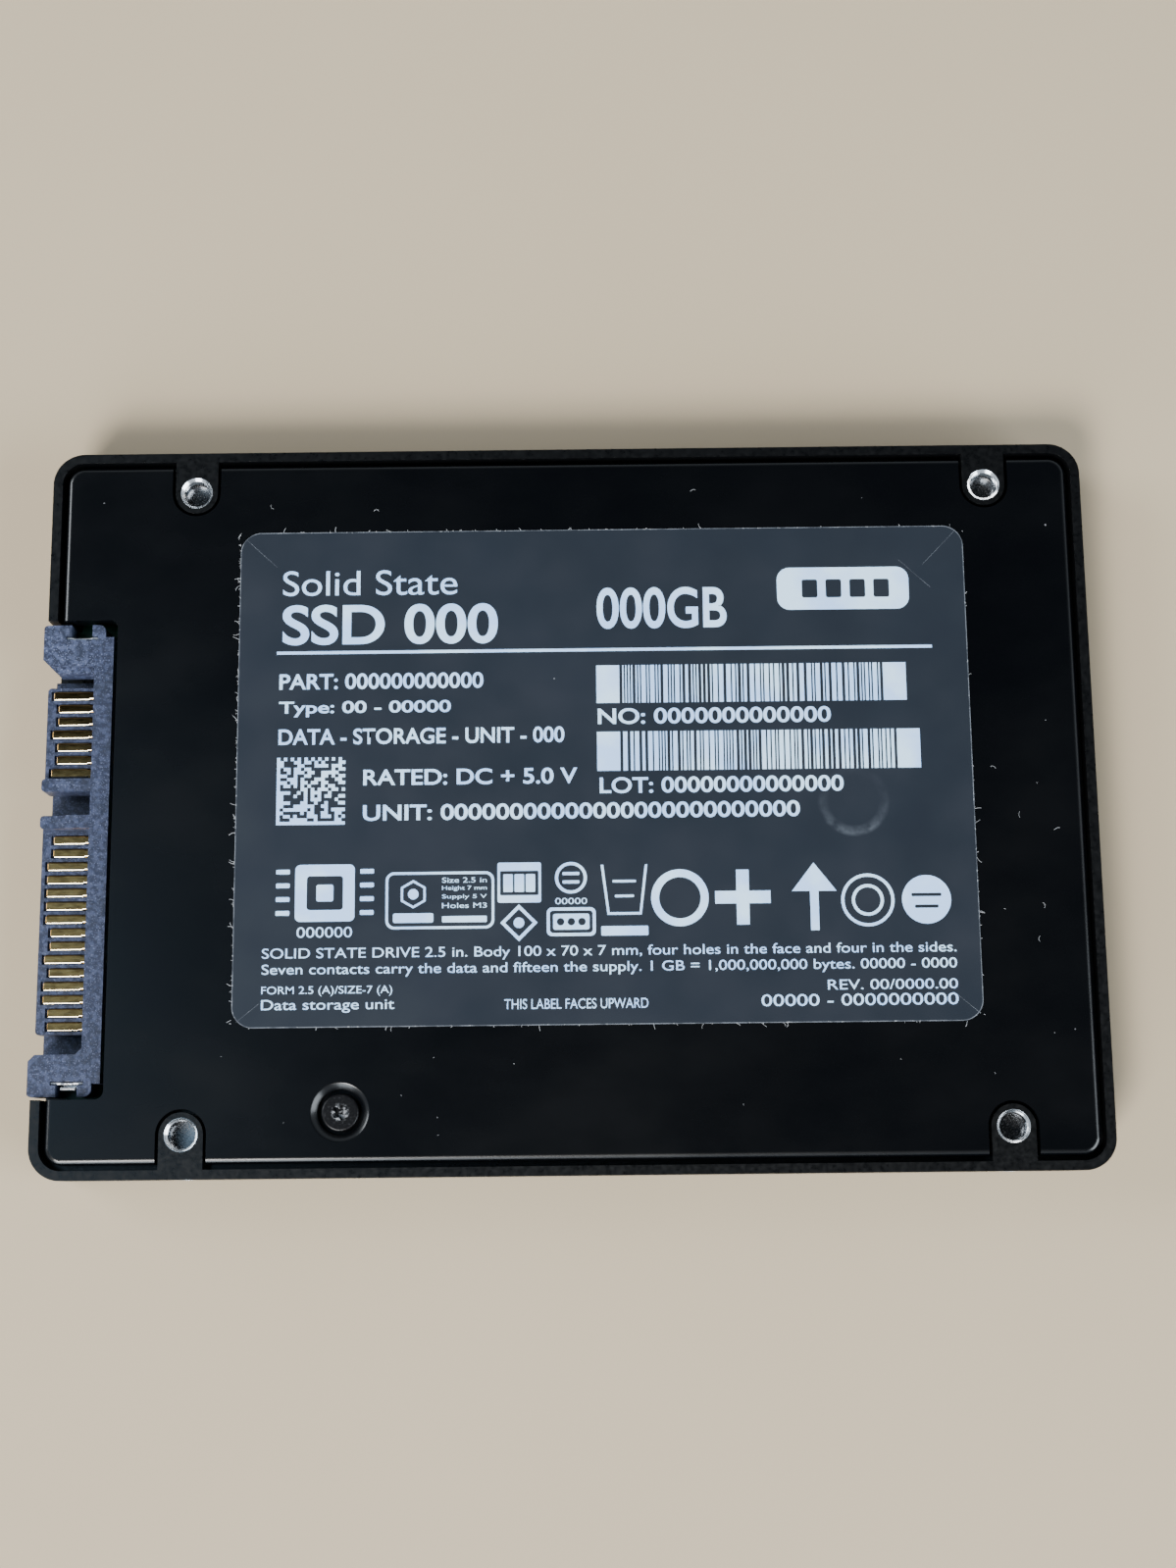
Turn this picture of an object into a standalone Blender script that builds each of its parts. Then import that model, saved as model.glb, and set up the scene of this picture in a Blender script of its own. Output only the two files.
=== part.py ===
"""A 2.5-inch solid state drive, lying with its label side up.

Metres, +Z up out of the label side. +X runs along the drive away from its connector and +Y
across it. The origin is the middle of the flat face that the drive lies on.
"""

import math

import bmesh
import bpy
from mathutils import Matrix

MM = 0.001

# Case: one aluminium shell with the mounting bosses and the screw pillars
CASE_LENGTH = 100.0 * MM
CASE_WIDTH = 69.85 * MM
RIM_HEIGHT = 6.6 * MM
CASE_CORNER_RADIUS = 3.0 * MM
CASE_EDGE_RADIUS = 0.6 * MM  # round the resting face
FLOOR = 0.8 * MM
RIM = 0.9 * MM  # wall beside the cover
LEDGE = 1.3 * MM  # shelf that the cover's skirt stands on
SILL = 0.9 * MM  # height of the case left under the connector

# Mounting holes, tapped M3, measured from the nearest edges
FRONT_HOLE_INSET = 14.0 * MM
BACK_HOLE_INSET = 9.4 * MM
SIDE_HOLE_INSET = 4.065 * MM
SIDE_TAPPING_DROP = 3.0 * MM  # side holes, below the label
BOSS_RADIUS = 2.05 * MM
TAPPING_RADIUS = 1.25 * MM
TAPPING_DEPTH = 3.4 * MM
SIDE_TAPPING_DEPTH = 2.3 * MM
TAPPING_CHAMFER = 0.35 * MM

# Cover: a pressed tray with a skirt, a notch for the connector and three screw pockets
COVER_PROUD = 0.1 * MM  # above the rim
COVER_GROOVE = 0.5 * MM  # open groove between the rim and the cover
BOSS_GROOVE = 0.3 * MM  # the same around a boss
COVER_SHEET = 0.6 * MM
COVER_SKIRT = 1.5 * MM
COVER_EDGE_RADIUS = 0.3 * MM
NOTCH_CLEARANCE = 0.5 * MM  # behind the connector
NOTCH_CORNER_RADIUS = 0.8 * MM
POCKET_DEPTH = 1.25 * MM
POCKET_MOUTH_RADIUS = 2.75 * MM
POCKET_BEVEL = 0.35 * MM

# Cover screws: five-lobed drive, M2
HEAD_RADIUS = 1.75 * MM
HEAD_HEIGHT = 0.8 * MM
HEAD_CLEARANCE = 0.35 * MM
SHANK_RADIUS = 1.0 * MM
SHANK_LENGTH = 3.6 * MM
SHANK_CLEARANCE = 0.15 * MM
THREAD_CLEARANCE = 0.05 * MM
DRIVE_RADIUS = 0.62 * MM
DRIVE_LOBE = 0.14 * MM
DRIVE_DEPTH = 0.4 * MM
PILLAR_RADIUS = 2.4 * MM
PILLAR_FOOT_RADIUS = 3.2 * MM
EXPOSED_SCREW = (28.6 * MM, -5.975 * MM)  # from the front end and from the -Y side
UPPER_SCREW = (28.6 * MM, 12.925 * MM)  # from the front end and from the +Y side
REAR_SCREW = (23.1 * MM, -0.3 * MM)  # from the back end and from the centre line

# Label, by its margins on the case
LABEL_THICKNESS = 0.08 * MM
LABEL_GAP = 0.02 * MM
LABEL_FRONT_MARGIN = 18.45 * MM
LABEL_BACK_MARGIN = 11.7 * MM
LABEL_UPPER_MARGIN = 8.25 * MM
LABEL_LOWER_MARGIN = 13.75 * MM
LABEL_CORNER_RADIUS = 2.0 * MM

# Connector: a 22-pin plug, 7 signal and 15 power contacts on two keyed tongues
HOUSING_PROUD = 0.5 * MM  # beyond the case's front end
HOUSING_DROP = 0.8 * MM  # below the label
HOUSING_CLEARANCE = 0.3 * MM  # to the case and the cover at its ends
UPPER_ARM_WIDTH = 4.7 * MM
LOWER_ARM_WIDTH = 3.9 * MM
UPPER_ARM_GAP = 1.04 * MM  # between a guide arm and the end of the tongue beside it
LOWER_ARM_GAP = 1.97 * MM
ARM_CHAMFER = 1.3 * MM
LOWER_ARM_CHAMFER = 0.6 * MM
ARM_STEP_WIDTH = 0.65 * MM  # lowered edge of the upper arm
ARM_STEP_DROP = 0.5 * MM
BAR_FRONT = 4.45 * MM
BAR_THICKNESS = 1.8 * MM
BAR_STEP = 1.2 * MM  # how far the bar stops short of the housing's ends
EAR_SHORTFALL = 0.8 * MM
SHELF_CLEARANCE = 0.15 * MM  # between the sill and the underside of the housing
SHELF_PROUD = 0.2 * MM
SHELF_DROP = 1.0 * MM  # free height under the tongues
TONGUE_DROP = 2.9 * MM  # contact face below the label
TONGUE_THICKNESS = 1.23 * MM
TONGUE_PROUD = 0.45 * MM
TONGUE_END_WALL = 0.35 * MM
NOSE_RADIUS = 0.35 * MM  # front corners of the tongues, the keys and the arms
KEY_HEIGHT = 1.2 * MM
KEY_THICKNESS = 1.25 * MM
KEY_GAP = 2.35 * MM  # between the signal key and the power key
POWER_KEY_WALL = 0.51 * MM  # between the power key and its first contact
KEY_STEP = 0.4 * MM  # extra height of the power key near the bar
KEY_STEP_LENGTH = 2.4 * MM
CONTACT_PITCH = 1.27 * MM
CONTACT_WIDTH = 0.84 * MM
CONTACT_THICKNESS = 0.28 * MM
CONTACT_PROUD = 0.05 * MM
CONTACT_CLEARANCE = 0.05 * MM
CONTACT_SETBACK = 0.6 * MM
LONG_CONTACT_SETBACK = 0.1 * MM  # contacts that mate first
TAIL_LENGTH = 1.4 * MM
SIGNAL_CONTACTS = 7
POWER_CONTACTS = 15
LAST_SIGNAL = 3.72 * MM  # centre of the signal contact nearest the power tongue
LONG_SIGNAL = {1, 4, 7}
LONG_POWER = {3, 4, 5, 6, 7, 10, 12, 13}
HOLD_DOWN_THICKNESS = 0.25 * MM
HOLD_DOWN_LENGTH = 3.0 * MM
HOLD_DOWN_FRONT = 1.65 * MM
HOLD_DOWN_INSET = 1.25 * MM  # from the housing's end
HOLD_DOWN_WINDOW = 2.0 * MM
HOLD_DOWN_LEG = 1.75 * MM
HOLD_DOWN_REACH = 0.3 * MM  # below the board

# Circuit board and what is soldered on it
BOARD_END = 44.0 * MM  # its back edge, from the case's front end
BOARD_THICKNESS = 1.0 * MM
BOARD_DROP = 0.7 * MM  # its top below the contact face
BOARD_CLEARANCE = 0.3 * MM
SEAT_GAP = 0.05 * MM  # solder or seating gap between stacked pieces
EAR_FRONT = 1.2 * MM
POST_RADIUS = 1.5 * MM
FLASH_SIZE = (14.0 * MM, 18.0 * MM, 1.1 * MM)
FLASH_FROM_END = 8.0 * MM
FLASH_ROWS = (9.0 * MM, -12.0 * MM)
CONTROLLER_SIZE = (14.0 * MM, 14.0 * MM, 1.0 * MM)
CONTROLLER_AT = (17.0 * MM, -2.0 * MM)
BUFFER_SIZE = (11.0 * MM, 9.0 * MM, 0.8 * MM)
BUFFER_AT = (17.0 * MM, 13.0 * MM)
POWER_CHIP_SIZE = (5.0 * MM, 5.0 * MM, 0.9 * MM)
POWER_CHIP_AT = (21.0 * MM, 12.0 * MM)
INDUCTOR_SIZE = (3.6 * MM, 3.6 * MM, 1.6 * MM)
INDUCTOR_AT = ((21.0 * MM, 18.5 * MM), (15.0 * MM, 18.5 * MM))
CAPACITOR_SIZE = (3.5 * MM, 2.8 * MM, 1.6 * MM)
CAPACITOR_AT = tuple((x * MM, y * MM) for x in (14.0, 20.0) for y in (-15.0, -20.0))
CRYSTAL_SIZE = (3.2 * MM, 2.5 * MM, 0.8 * MM)
CRYSTAL_AT = (14.0 * MM, 2.0 * MM)
PAD_MARGIN = 1.0 * MM  # a pad is this much smaller than its chip on each side

# Levels and ends that follow from the sizes above
X_FRONT = -CASE_LENGTH / 2
X_BACK = CASE_LENGTH / 2
HALF_WIDTH = CASE_WIDTH / 2
COVER_TOP = RIM_HEIGHT + COVER_PROUD
COVER_UNDER = COVER_TOP - COVER_SHEET
LABEL_TOP = COVER_TOP + LABEL_GAP + LABEL_THICKNESS
LEDGE_TOP = COVER_TOP - COVER_SKIRT - SEAT_GAP
COVER_INSET = RIM + COVER_GROOVE
POCKET_FLOOR = COVER_TOP - POCKET_DEPTH
PILLAR_TOP = POCKET_FLOOR - COVER_SHEET - SEAT_GAP
HOUSING_TOP = LABEL_TOP - HOUSING_DROP
CONTACT_FACE = LABEL_TOP - TONGUE_DROP
TONGUE_UNDER = CONTACT_FACE - TONGUE_THICKNESS
CONTACT_TOP = CONTACT_FACE + CONTACT_PROUD
CONTACT_UNDER = CONTACT_TOP - CONTACT_THICKNESS
BOARD_TOP = CONTACT_FACE - BOARD_DROP
BOARD_UNDER = BOARD_TOP - BOARD_THICKNESS
SHELF_TOP = TONGUE_UNDER - SHELF_DROP
BAR_BACK = BAR_FRONT + BAR_THICKNESS
NOTCH_DEPTH = BAR_BACK + NOTCH_CLEARANCE
HALF_CONTACT = CONTACT_WIDTH / 2
SIGNAL_END = LAST_SIGNAL + (SIGNAL_CONTACTS - 1) * CONTACT_PITCH + HALF_CONTACT + TONGUE_END_WALL
SIGNAL_KEY = LAST_SIGNAL - HALF_CONTACT - TONGUE_END_WALL - KEY_THICKNESS
POWER_KEY = SIGNAL_KEY - KEY_GAP
FIRST_POWER = POWER_KEY - KEY_THICKNESS - POWER_KEY_WALL - HALF_CONTACT
POWER_END = FIRST_POWER - (POWER_CONTACTS - 1) * CONTACT_PITCH - HALF_CONTACT - TONGUE_END_WALL
ARM_UPPER = SIGNAL_END + UPPER_ARM_GAP  # inner faces of the two guide arms
ARM_LOWER = POWER_END - LOWER_ARM_GAP
HOUSING_UPPER = ARM_UPPER + UPPER_ARM_WIDTH  # the housing's two ends
HOUSING_LOWER = ARM_LOWER - LOWER_ARM_WIDTH
OVERCUT = 1.0 * MM  # how far a cutter runs past what it cuts
ARC_STEPS = 6
ROUND_SIDES = 24

parts = bpy.data.collections.new("solid_state_drive")
helpers = bpy.data.collections.new("cutters")


def from_front(x):
    """X of a place measured from the case's front end."""
    return X_FRONT + x


def arc(cx, cy, radius, start, end, steps=ARC_STEPS):
    """Points on an arc about (cx, cy), from the start to the end angle in degrees."""
    angles = [math.radians(start + (end - start) * i / steps) for i in range(steps + 1)]
    return [(cx + radius * math.cos(a), cy + radius * math.sin(a)) for a in angles]


def rounded_rectangle(x0, x1, y0, y1, radius):
    corners = ((x0, y0, 180), (x1, y0, 270), (x1, y1, 0), (x0, y1, 90))
    points = []
    for x, y, start in corners:
        cx = x + radius if x == x0 else x - radius
        cy = y + radius if y == y0 else y - radius
        points += arc(cx, cy, radius, start, start + 90)
    return points


def screw_places():
    """Centres of the three cover screws, by name."""
    return {
        "cover_screw_exposed": (from_front(EXPOSED_SCREW[0]), -HALF_WIDTH - EXPOSED_SCREW[1]),
        "cover_screw_upper": (from_front(UPPER_SCREW[0]), HALF_WIDTH - UPPER_SCREW[1]),
        "cover_screw_rear": (X_BACK - REAR_SCREW[0], REAR_SCREW[1]),
    }


def hole_places():
    """Centres of the four mounting holes in the label side, front pair first."""
    return [
        (x, side * (HALF_WIDTH - SIDE_HOLE_INSET))
        for x in (from_front(FRONT_HOLE_INSET), X_BACK - BACK_HOLE_INSET)
        for side in (-1, 1)
    ]


def bitten_edge(side, edge, bites):
    """One long edge of an outline, with a U-shaped bite of each (x, y, radius) in bites."""
    points = []
    for x, y, radius in sorted(bites, reverse=side > 0):
        first, last = (180, 0) if side < 0 else (0, -180)
        points.append((x + radius * side, edge))
        points += arc(x, y, radius, first, last, 2 * ARC_STEPS)
        points.append((x - radius * side, edge))
    return points


def boss_bites(side, radius):
    return [(x, y, radius) for x, y in hole_places() if y * side > 0]


def notch_edge(x, grow):
    """The front edge of the cover, around its notch for the connector."""
    radius = NOTCH_CORNER_RADIUS
    deep = from_front(NOTCH_DEPTH) + grow
    upper = HOUSING_UPPER + HOUSING_CLEARANCE + grow
    lower = HOUSING_LOWER - HOUSING_CLEARANCE - grow
    return [
        (x, upper),
        *arc(deep - radius, upper - radius, radius, 90, 0),
        *arc(deep - radius, lower + radius, radius, 0, -90),
        (x, lower),
    ]


def case_outline(inset, boss_radius, front=()):
    """The case's outline taken in by inset, going round the bosses at boss_radius."""
    x0, x1, half = X_FRONT + inset, X_BACK - inset, HALF_WIDTH - inset
    r = CASE_CORNER_RADIUS - inset
    return [
        *arc(x0 + r, -half + r, r, 180, 270),
        *bitten_edge(-1, -half, boss_bites(-1, boss_radius)),
        *arc(x1 - r, -half + r, r, 270, 360),
        *arc(x1 - r, half - r, r, 0, 90),
        *bitten_edge(1, half, boss_bites(1, boss_radius)),
        *arc(x0 + r, half - r, r, 90, 180),
        *front,
    ]


def cover_outline(grow):
    """The cover's outline, taken in by grow everywhere."""
    inset = COVER_INSET + grow
    return case_outline(inset, BOSS_RADIUS + BOSS_GROOVE + grow, notch_edge(X_FRONT + inset, grow))


def put(obj, name, material=None):
    """Names an object and files it: with a material it is a part, and without one a cutter."""
    obj.name = name
    for owner in list(obj.users_collection):
        owner.objects.unlink(obj)
    (parts if material else helpers).objects.link(obj)
    if material:
        obj.data.materials.clear()
        obj.data.materials.append(material)
        return obj
    obj.hide_render = True
    obj.display_type = "WIRE"
    return obj


def as_mesh(curve):
    """A curve object turned into a closed mesh object with its caps welded on."""
    bpy.context.scene.collection.objects.link(curve)
    bpy.context.view_layer.update()
    graph = bpy.context.evaluated_depsgraph_get()
    mesh = bpy.data.meshes.new_from_object(curve.evaluated_get(graph))
    made = bpy.data.objects.new(curve.name, mesh)
    made.matrix_world = curve.matrix_world
    bpy.data.objects.remove(curve)
    bm = bmesh.new()
    bm.from_mesh(mesh)
    bmesh.ops.remove_doubles(bm, verts=bm.verts, dist=1e-6)
    bmesh.ops.recalc_face_normals(bm, faces=bm.faces)
    bm.to_mesh(mesh)
    bm.free()
    return made


def plate(outline, low, high, edge_radius=0.0, edge_steps=1, across=False):
    """A flat solid of the outline from low to high, along Z or, with across, along -Y."""
    data = bpy.data.curves.new("plate", "CURVE")
    data.dimensions = "2D"
    data.fill_mode = "BOTH"
    data.extrude = (high - low) / 2 - edge_radius
    data.bevel_depth = edge_radius
    data.bevel_resolution = edge_steps
    data.offset = -edge_radius
    spline = data.splines.new("POLY")
    spline.points.add(len(outline) - 1)
    for point, (x, y) in zip(spline.points, outline):
        point.co = (x, y, 0, 1)
    spline.use_cyclic_u = True
    curve = bpy.data.objects.new("plate", data)
    middle = (low + high) / 2
    if across:
        curve.matrix_world = Matrix.Translation((0, middle, 0)) @ Matrix.Rotation(math.pi / 2, 4, "X")
    else:
        curve.matrix_world = Matrix.Translation((0, 0, middle))
    return as_mesh(curve)


def block(x0, x1, y0, y1, z0, z1):
    """A box between two corners."""
    bpy.ops.mesh.primitive_cube_add(size=1)
    obj = bpy.context.object
    size = Matrix.Diagonal((x1 - x0, y1 - y0, z1 - z0, 1))
    obj.data.transform(Matrix.Translation(((x0 + x1) / 2, (y0 + y1) / 2, (z0 + z1) / 2)) @ size)
    return obj


def turned(profile):
    """A solid turned about Z from (radius, height) points, from the top down the outside."""
    mesh = bpy.data.meshes.new("turned")
    points = [(radius, 0, height) for radius, height in profile]
    mesh.from_pydata(points, [(i, i + 1) for i in range(len(points) - 1)], [])
    obj = bpy.data.objects.new("turned", mesh)
    screw = obj.modifiers.new("turn", "SCREW")
    screw.steps = screw.render_steps = ROUND_SIDES
    screw.use_merge_vertices = True
    screw.merge_threshold = 1e-6
    return as_mesh(obj)


def placed(obj, matrix):
    """A copy of a mesh object, moved by a matrix."""
    mesh = obj.data.copy()
    mesh.transform(matrix)
    return bpy.data.objects.new(obj.name, mesh)


def joined(pieces):
    """Several separate solids as one mesh object."""
    bm = bmesh.new()
    for piece in pieces:
        piece.data.transform(piece.matrix_world)
        bm.from_mesh(piece.data)
        bpy.data.objects.remove(piece)
    mesh = bpy.data.meshes.new("joined")
    bm.to_mesh(mesh)
    bm.free()
    return bpy.data.objects.new("joined", mesh)


def combine(obj, operation, other, name):
    """Adds a Boolean of another solid, which is kept among the cutters."""
    put(other, name)
    modifier = obj.modifiers.new(name, "BOOLEAN")
    modifier.operation = operation
    modifier.object = other
    modifier.solver = "EXACT"


def material(name, colour, roughness, metallic=0.0):
    made = bpy.data.materials.new(name)
    made.use_nodes = True
    shader = made.node_tree.nodes["Principled BSDF"]
    shader.inputs["Base Color"].default_value = (*colour, 1.0)
    shader.inputs["Roughness"].default_value = roughness
    shader.inputs["Metallic"].default_value = metallic
    made.diffuse_color = (*colour, 1.0)
    return made


def tapping(top, depth):
    """A cutter for one blind tapped hole that opens upwards at height top."""
    chamfered = TAPPING_RADIUS + TAPPING_CHAMFER
    bottom = top - depth
    return turned([
        (0, top + OVERCUT),
        (chamfered + OVERCUT, top + OVERCUT),
        (TAPPING_RADIUS, top - TAPPING_CHAMFER),
        (TAPPING_RADIUS, bottom),
        (0, bottom - TAPPING_RADIUS / 4),
    ])


def mounting_holes():
    """Cutters for the four holes in the label side."""
    one = tapping(RIM_HEIGHT, TAPPING_DEPTH)
    holes = [placed(one, Matrix.Translation((x, y, 0))) for x, y in hole_places()]
    bpy.data.objects.remove(one)
    return joined(holes)


def side_holes():
    """Cutters for the two holes in each long side."""
    one = tapping(HALF_WIDTH, SIDE_TAPPING_DEPTH)
    holes = []
    for x, y in hole_places():
        turn = Matrix.Rotation(-math.copysign(math.pi / 2, y), 4, "X")
        place = Matrix.Translation((x, 0, LABEL_TOP - SIDE_TAPPING_DROP))
        holes.append(placed(one, place @ turn))
    bpy.data.objects.remove(one)
    return joined(holes)


def pillars():
    """Screw pillars with a foot that the board rests on, and plain posts under the board."""
    seat = BOARD_UNDER - SEAT_GAP
    sunk = FLOOR / 2
    pillar = turned([
        (0, PILLAR_TOP),
        (PILLAR_RADIUS, PILLAR_TOP),
        (PILLAR_RADIUS, seat),
        (PILLAR_FOOT_RADIUS, seat),
        (PILLAR_FOOT_RADIUS, sunk),
        (0, sunk),
    ])
    post = turned([(0, seat), (POST_RADIUS, seat), (POST_RADIUS, sunk), (0, sunk)])
    made = [placed(pillar, Matrix.Translation((*at, 0))) for at in screw_places().values()]
    made += [placed(post, Matrix.Translation((*at, 0))) for at in post_places()]
    for pattern in (pillar, post):
        bpy.data.objects.remove(pattern)
    return joined(made)


def post_places():
    """Posts under the board's four corners."""
    side = HALF_WIDTH - RIM - LEDGE - BOARD_CLEARANCE - 2 * POST_RADIUS
    front = FRONT_HOLE_INSET - BOSS_RADIUS - LEDGE - BOARD_CLEARANCE - 2 * POST_RADIUS
    return [
        (from_front(x), y) for x in (front, BOARD_END - POST_RADIUS) for y in (-side, side)
    ]


def pilot_holes():
    """Cutters for the threaded holes in the screw pillars."""
    radius = SHANK_RADIUS + THREAD_CLEARANCE
    top, bottom = PILLAR_TOP + OVERCUT, POCKET_FLOOR - SHANK_LENGTH
    one = turned([(0, top), (radius, top), (radius, bottom), (0, bottom)])
    holes = [placed(one, Matrix.Translation((*at, 0))) for at in screw_places().values()]
    bpy.data.objects.remove(one)
    return joined(holes)


def make_case(paint):
    outline = rounded_rectangle(X_FRONT, X_BACK, -HALF_WIDTH, HALF_WIDTH, CASE_CORNER_RADIUS)
    top = RIM_HEIGHT + OVERCUT
    case = put(plate(outline, 0, top, CASE_EDGE_RADIUS, 2), "case", paint)
    trim = block(
        X_FRONT - OVERCUT, X_BACK + OVERCUT, -HALF_WIDTH - OVERCUT, HALF_WIDTH + OVERCUT, RIM_HEIGHT, top,
    )
    combine(case, "DIFFERENCE", trim, "flat_rim")
    upper = plate(case_outline(RIM, BOSS_RADIUS), LEDGE_TOP, top)
    combine(case, "DIFFERENCE", upper, "upper_cavity")
    lower = plate(case_outline(RIM + LEDGE, BOSS_RADIUS + LEDGE), FLOOR, LEDGE_TOP + OVERCUT / 2)
    combine(case, "DIFFERENCE", lower, "lower_cavity")
    mouth = block(
        X_FRONT - OVERCUT,
        from_front(BAR_BACK + HOUSING_CLEARANCE),
        HOUSING_LOWER - HOUSING_CLEARANCE,
        HOUSING_UPPER + HOUSING_CLEARANCE,
        SILL,
        top,
    )
    combine(case, "DIFFERENCE", mouth, "connector_mouth")
    combine(case, "UNION", pillars(), "pillars")
    combine(case, "DIFFERENCE", pilot_holes(), "pilot_holes")
    combine(case, "DIFFERENCE", mounting_holes(), "mounting_holes")
    combine(case, "DIFFERENCE", side_holes(), "side_holes")


def pocket_cups():
    """The metal pressed down around each cover screw."""
    low, high = POCKET_FLOOR - COVER_SHEET, COVER_TOP - COVER_SHEET / 2
    one = turned([(0, high), (POCKET_MOUTH_RADIUS, high), (POCKET_MOUTH_RADIUS, low), (0, low)])
    cups = [placed(one, Matrix.Translation((*at, 0))) for at in screw_places().values()]
    bpy.data.objects.remove(one)
    return joined(cups)


def pocket_bores():
    """Cutters for the bevelled mouth, the head's seat and the shank's hole of each pocket."""
    seat = HEAD_RADIUS + HEAD_CLEARANCE
    shank = SHANK_RADIUS + SHANK_CLEARANCE
    slope = (POCKET_MOUTH_RADIUS - seat) / POCKET_BEVEL
    one = turned([
        (0, COVER_TOP + POCKET_BEVEL),
        (POCKET_MOUTH_RADIUS + slope * POCKET_BEVEL, COVER_TOP + POCKET_BEVEL),
        (seat, COVER_TOP - POCKET_BEVEL),
        (seat, POCKET_FLOOR),
        (shank, POCKET_FLOOR),
        (shank, POCKET_FLOOR - COVER_SHEET - OVERCUT),
        (0, POCKET_FLOOR - COVER_SHEET - OVERCUT),
    ])
    bores = [placed(one, Matrix.Translation((*at, 0))) for at in screw_places().values()]
    bpy.data.objects.remove(one)
    return joined(bores)


def make_cover(paint):
    low = COVER_TOP - COVER_SKIRT
    tray = plate(cover_outline(0), low - COVER_EDGE_RADIUS, COVER_TOP, COVER_EDGE_RADIUS, 1)
    cover = put(tray, "cover", paint)
    hollow = plate(cover_outline(COVER_SHEET), low - OVERCUT, COVER_UNDER)
    combine(cover, "DIFFERENCE", hollow, "cover_hollow")
    trim = block(
        X_FRONT - OVERCUT,
        X_BACK + OVERCUT,
        -HALF_WIDTH,
        HALF_WIDTH,
        low - 2 * OVERCUT,
        low,
    )
    combine(cover, "DIFFERENCE", trim, "skirt_trim")
    combine(cover, "UNION", pocket_cups(), "pocket_cups")
    combine(cover, "DIFFERENCE", pocket_bores(), "pocket_bores")


def make_label(film):
    outline = rounded_rectangle(
        X_FRONT + LABEL_FRONT_MARGIN,
        X_BACK - LABEL_BACK_MARGIN,
        -HALF_WIDTH + LABEL_LOWER_MARGIN,
        HALF_WIDTH - LABEL_UPPER_MARGIN,
        LABEL_CORNER_RADIUS,
    )
    put(plate(outline, COVER_TOP + LABEL_GAP, LABEL_TOP), "label", film)


def make_screws(steel):
    """Three cover screws with a five-lobed recess."""
    seat = POCKET_FLOOR + SEAT_GAP
    top = seat + HEAD_HEIGHT
    edge = HEAD_HEIGHT / 5
    tip = POCKET_FLOOR + SEAT_GAP - SHANK_LENGTH
    profile = [
        (0, top),
        (HEAD_RADIUS - edge, top),
        (HEAD_RADIUS, top - edge),
        (HEAD_RADIUS, seat),
        (SHANK_RADIUS, seat),
        (SHANK_RADIUS, tip + SHANK_RADIUS / 2),
        (SHANK_RADIUS / 2, tip),
        (0, tip),
    ]
    lobes = 5
    steps = 6 * lobes
    for name, (x, y) in screw_places().items():
        screw = turned(profile)
        screw.data.transform(Matrix.Translation((x, y, 0)))
        put(screw, name, steel)
        outline = []
        for i in range(steps):
            angle = 2 * math.pi * i / steps
            radius = DRIVE_RADIUS + DRIVE_LOBE * math.cos(lobes * angle)
            outline.append((x + radius * math.cos(angle), y + radius * math.sin(angle)))
        drive = plate(outline, top - DRIVE_DEPTH, top + OVERCUT)
        combine(screw, "DIFFERENCE", drive, name + "_drive")


def frame_outline():
    """Plan of the housing's guide arms and back bar, from the lower arm's outer corner round."""
    front = from_front(-HOUSING_PROUD)
    bar_front, bar_back = from_front(BAR_FRONT), from_front(BAR_BACK)
    ear = bar_back - EAR_SHORTFALL
    ear_radius = EAR_SHORTFALL * 0.8
    chamfer, lower, nose = ARM_CHAMFER, LOWER_ARM_CHAMFER, NOSE_RADIUS
    return [
        *arc(front + nose, HOUSING_LOWER + nose, nose, 180, 270, 3),
        *arc(ear - ear_radius, HOUSING_LOWER + ear_radius, ear_radius, 270, 360, 3),
        (ear, HOUSING_LOWER + BAR_STEP),
        (bar_back, HOUSING_LOWER + BAR_STEP),
        (bar_back, HOUSING_UPPER - BAR_STEP),
        (ear, HOUSING_UPPER - BAR_STEP),
        *arc(ear - ear_radius, HOUSING_UPPER - ear_radius, ear_radius, 0, 90, 3),
        *arc(front + nose, HOUSING_UPPER - nose, nose, 90, 180, 3),
        (front, ARM_UPPER + chamfer),
        (front + chamfer, ARM_UPPER),
        (bar_front, ARM_UPPER),
        (bar_front, ARM_LOWER + lower),
        (bar_front - lower, ARM_LOWER),
        (front + lower, ARM_LOWER),
        (front, ARM_LOWER - lower),
    ]


def arm_step():
    """A cutter that lowers the upper arm's inner edge, rounded where it meets the bar."""
    x0, x1 = from_front(-HOUSING_PROUD) + ARM_CHAMFER / 2, from_front(BAR_FRONT)
    y0, y1 = ARM_UPPER - OVERCUT, ARM_UPPER + ARM_STEP_WIDTH
    radius = ARM_STEP_WIDTH / 2
    outline = rounded_rectangle(x0, x1, y0, y1, radius)
    return plate(outline, HOUSING_TOP - ARM_STEP_DROP, HOUSING_TOP + OVERCUT)


def contact_places():
    """(name, centre Y, setback of its tip) of each of the contacts."""
    found = []
    for i in range(SIGNAL_CONTACTS):
        number = i + 1
        y = LAST_SIGNAL + (SIGNAL_CONTACTS - number) * CONTACT_PITCH
        found.append((f"signal_contact_{number}", y, number in LONG_SIGNAL))
    for i in range(POWER_CONTACTS):
        number = i + 1
        found.append((f"power_contact_{number}", FIRST_POWER - i * CONTACT_PITCH, number in LONG_POWER))
    return [
        (name, y, LONG_CONTACT_SETBACK if first else CONTACT_SETBACK) for name, y, first in found
    ]


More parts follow.
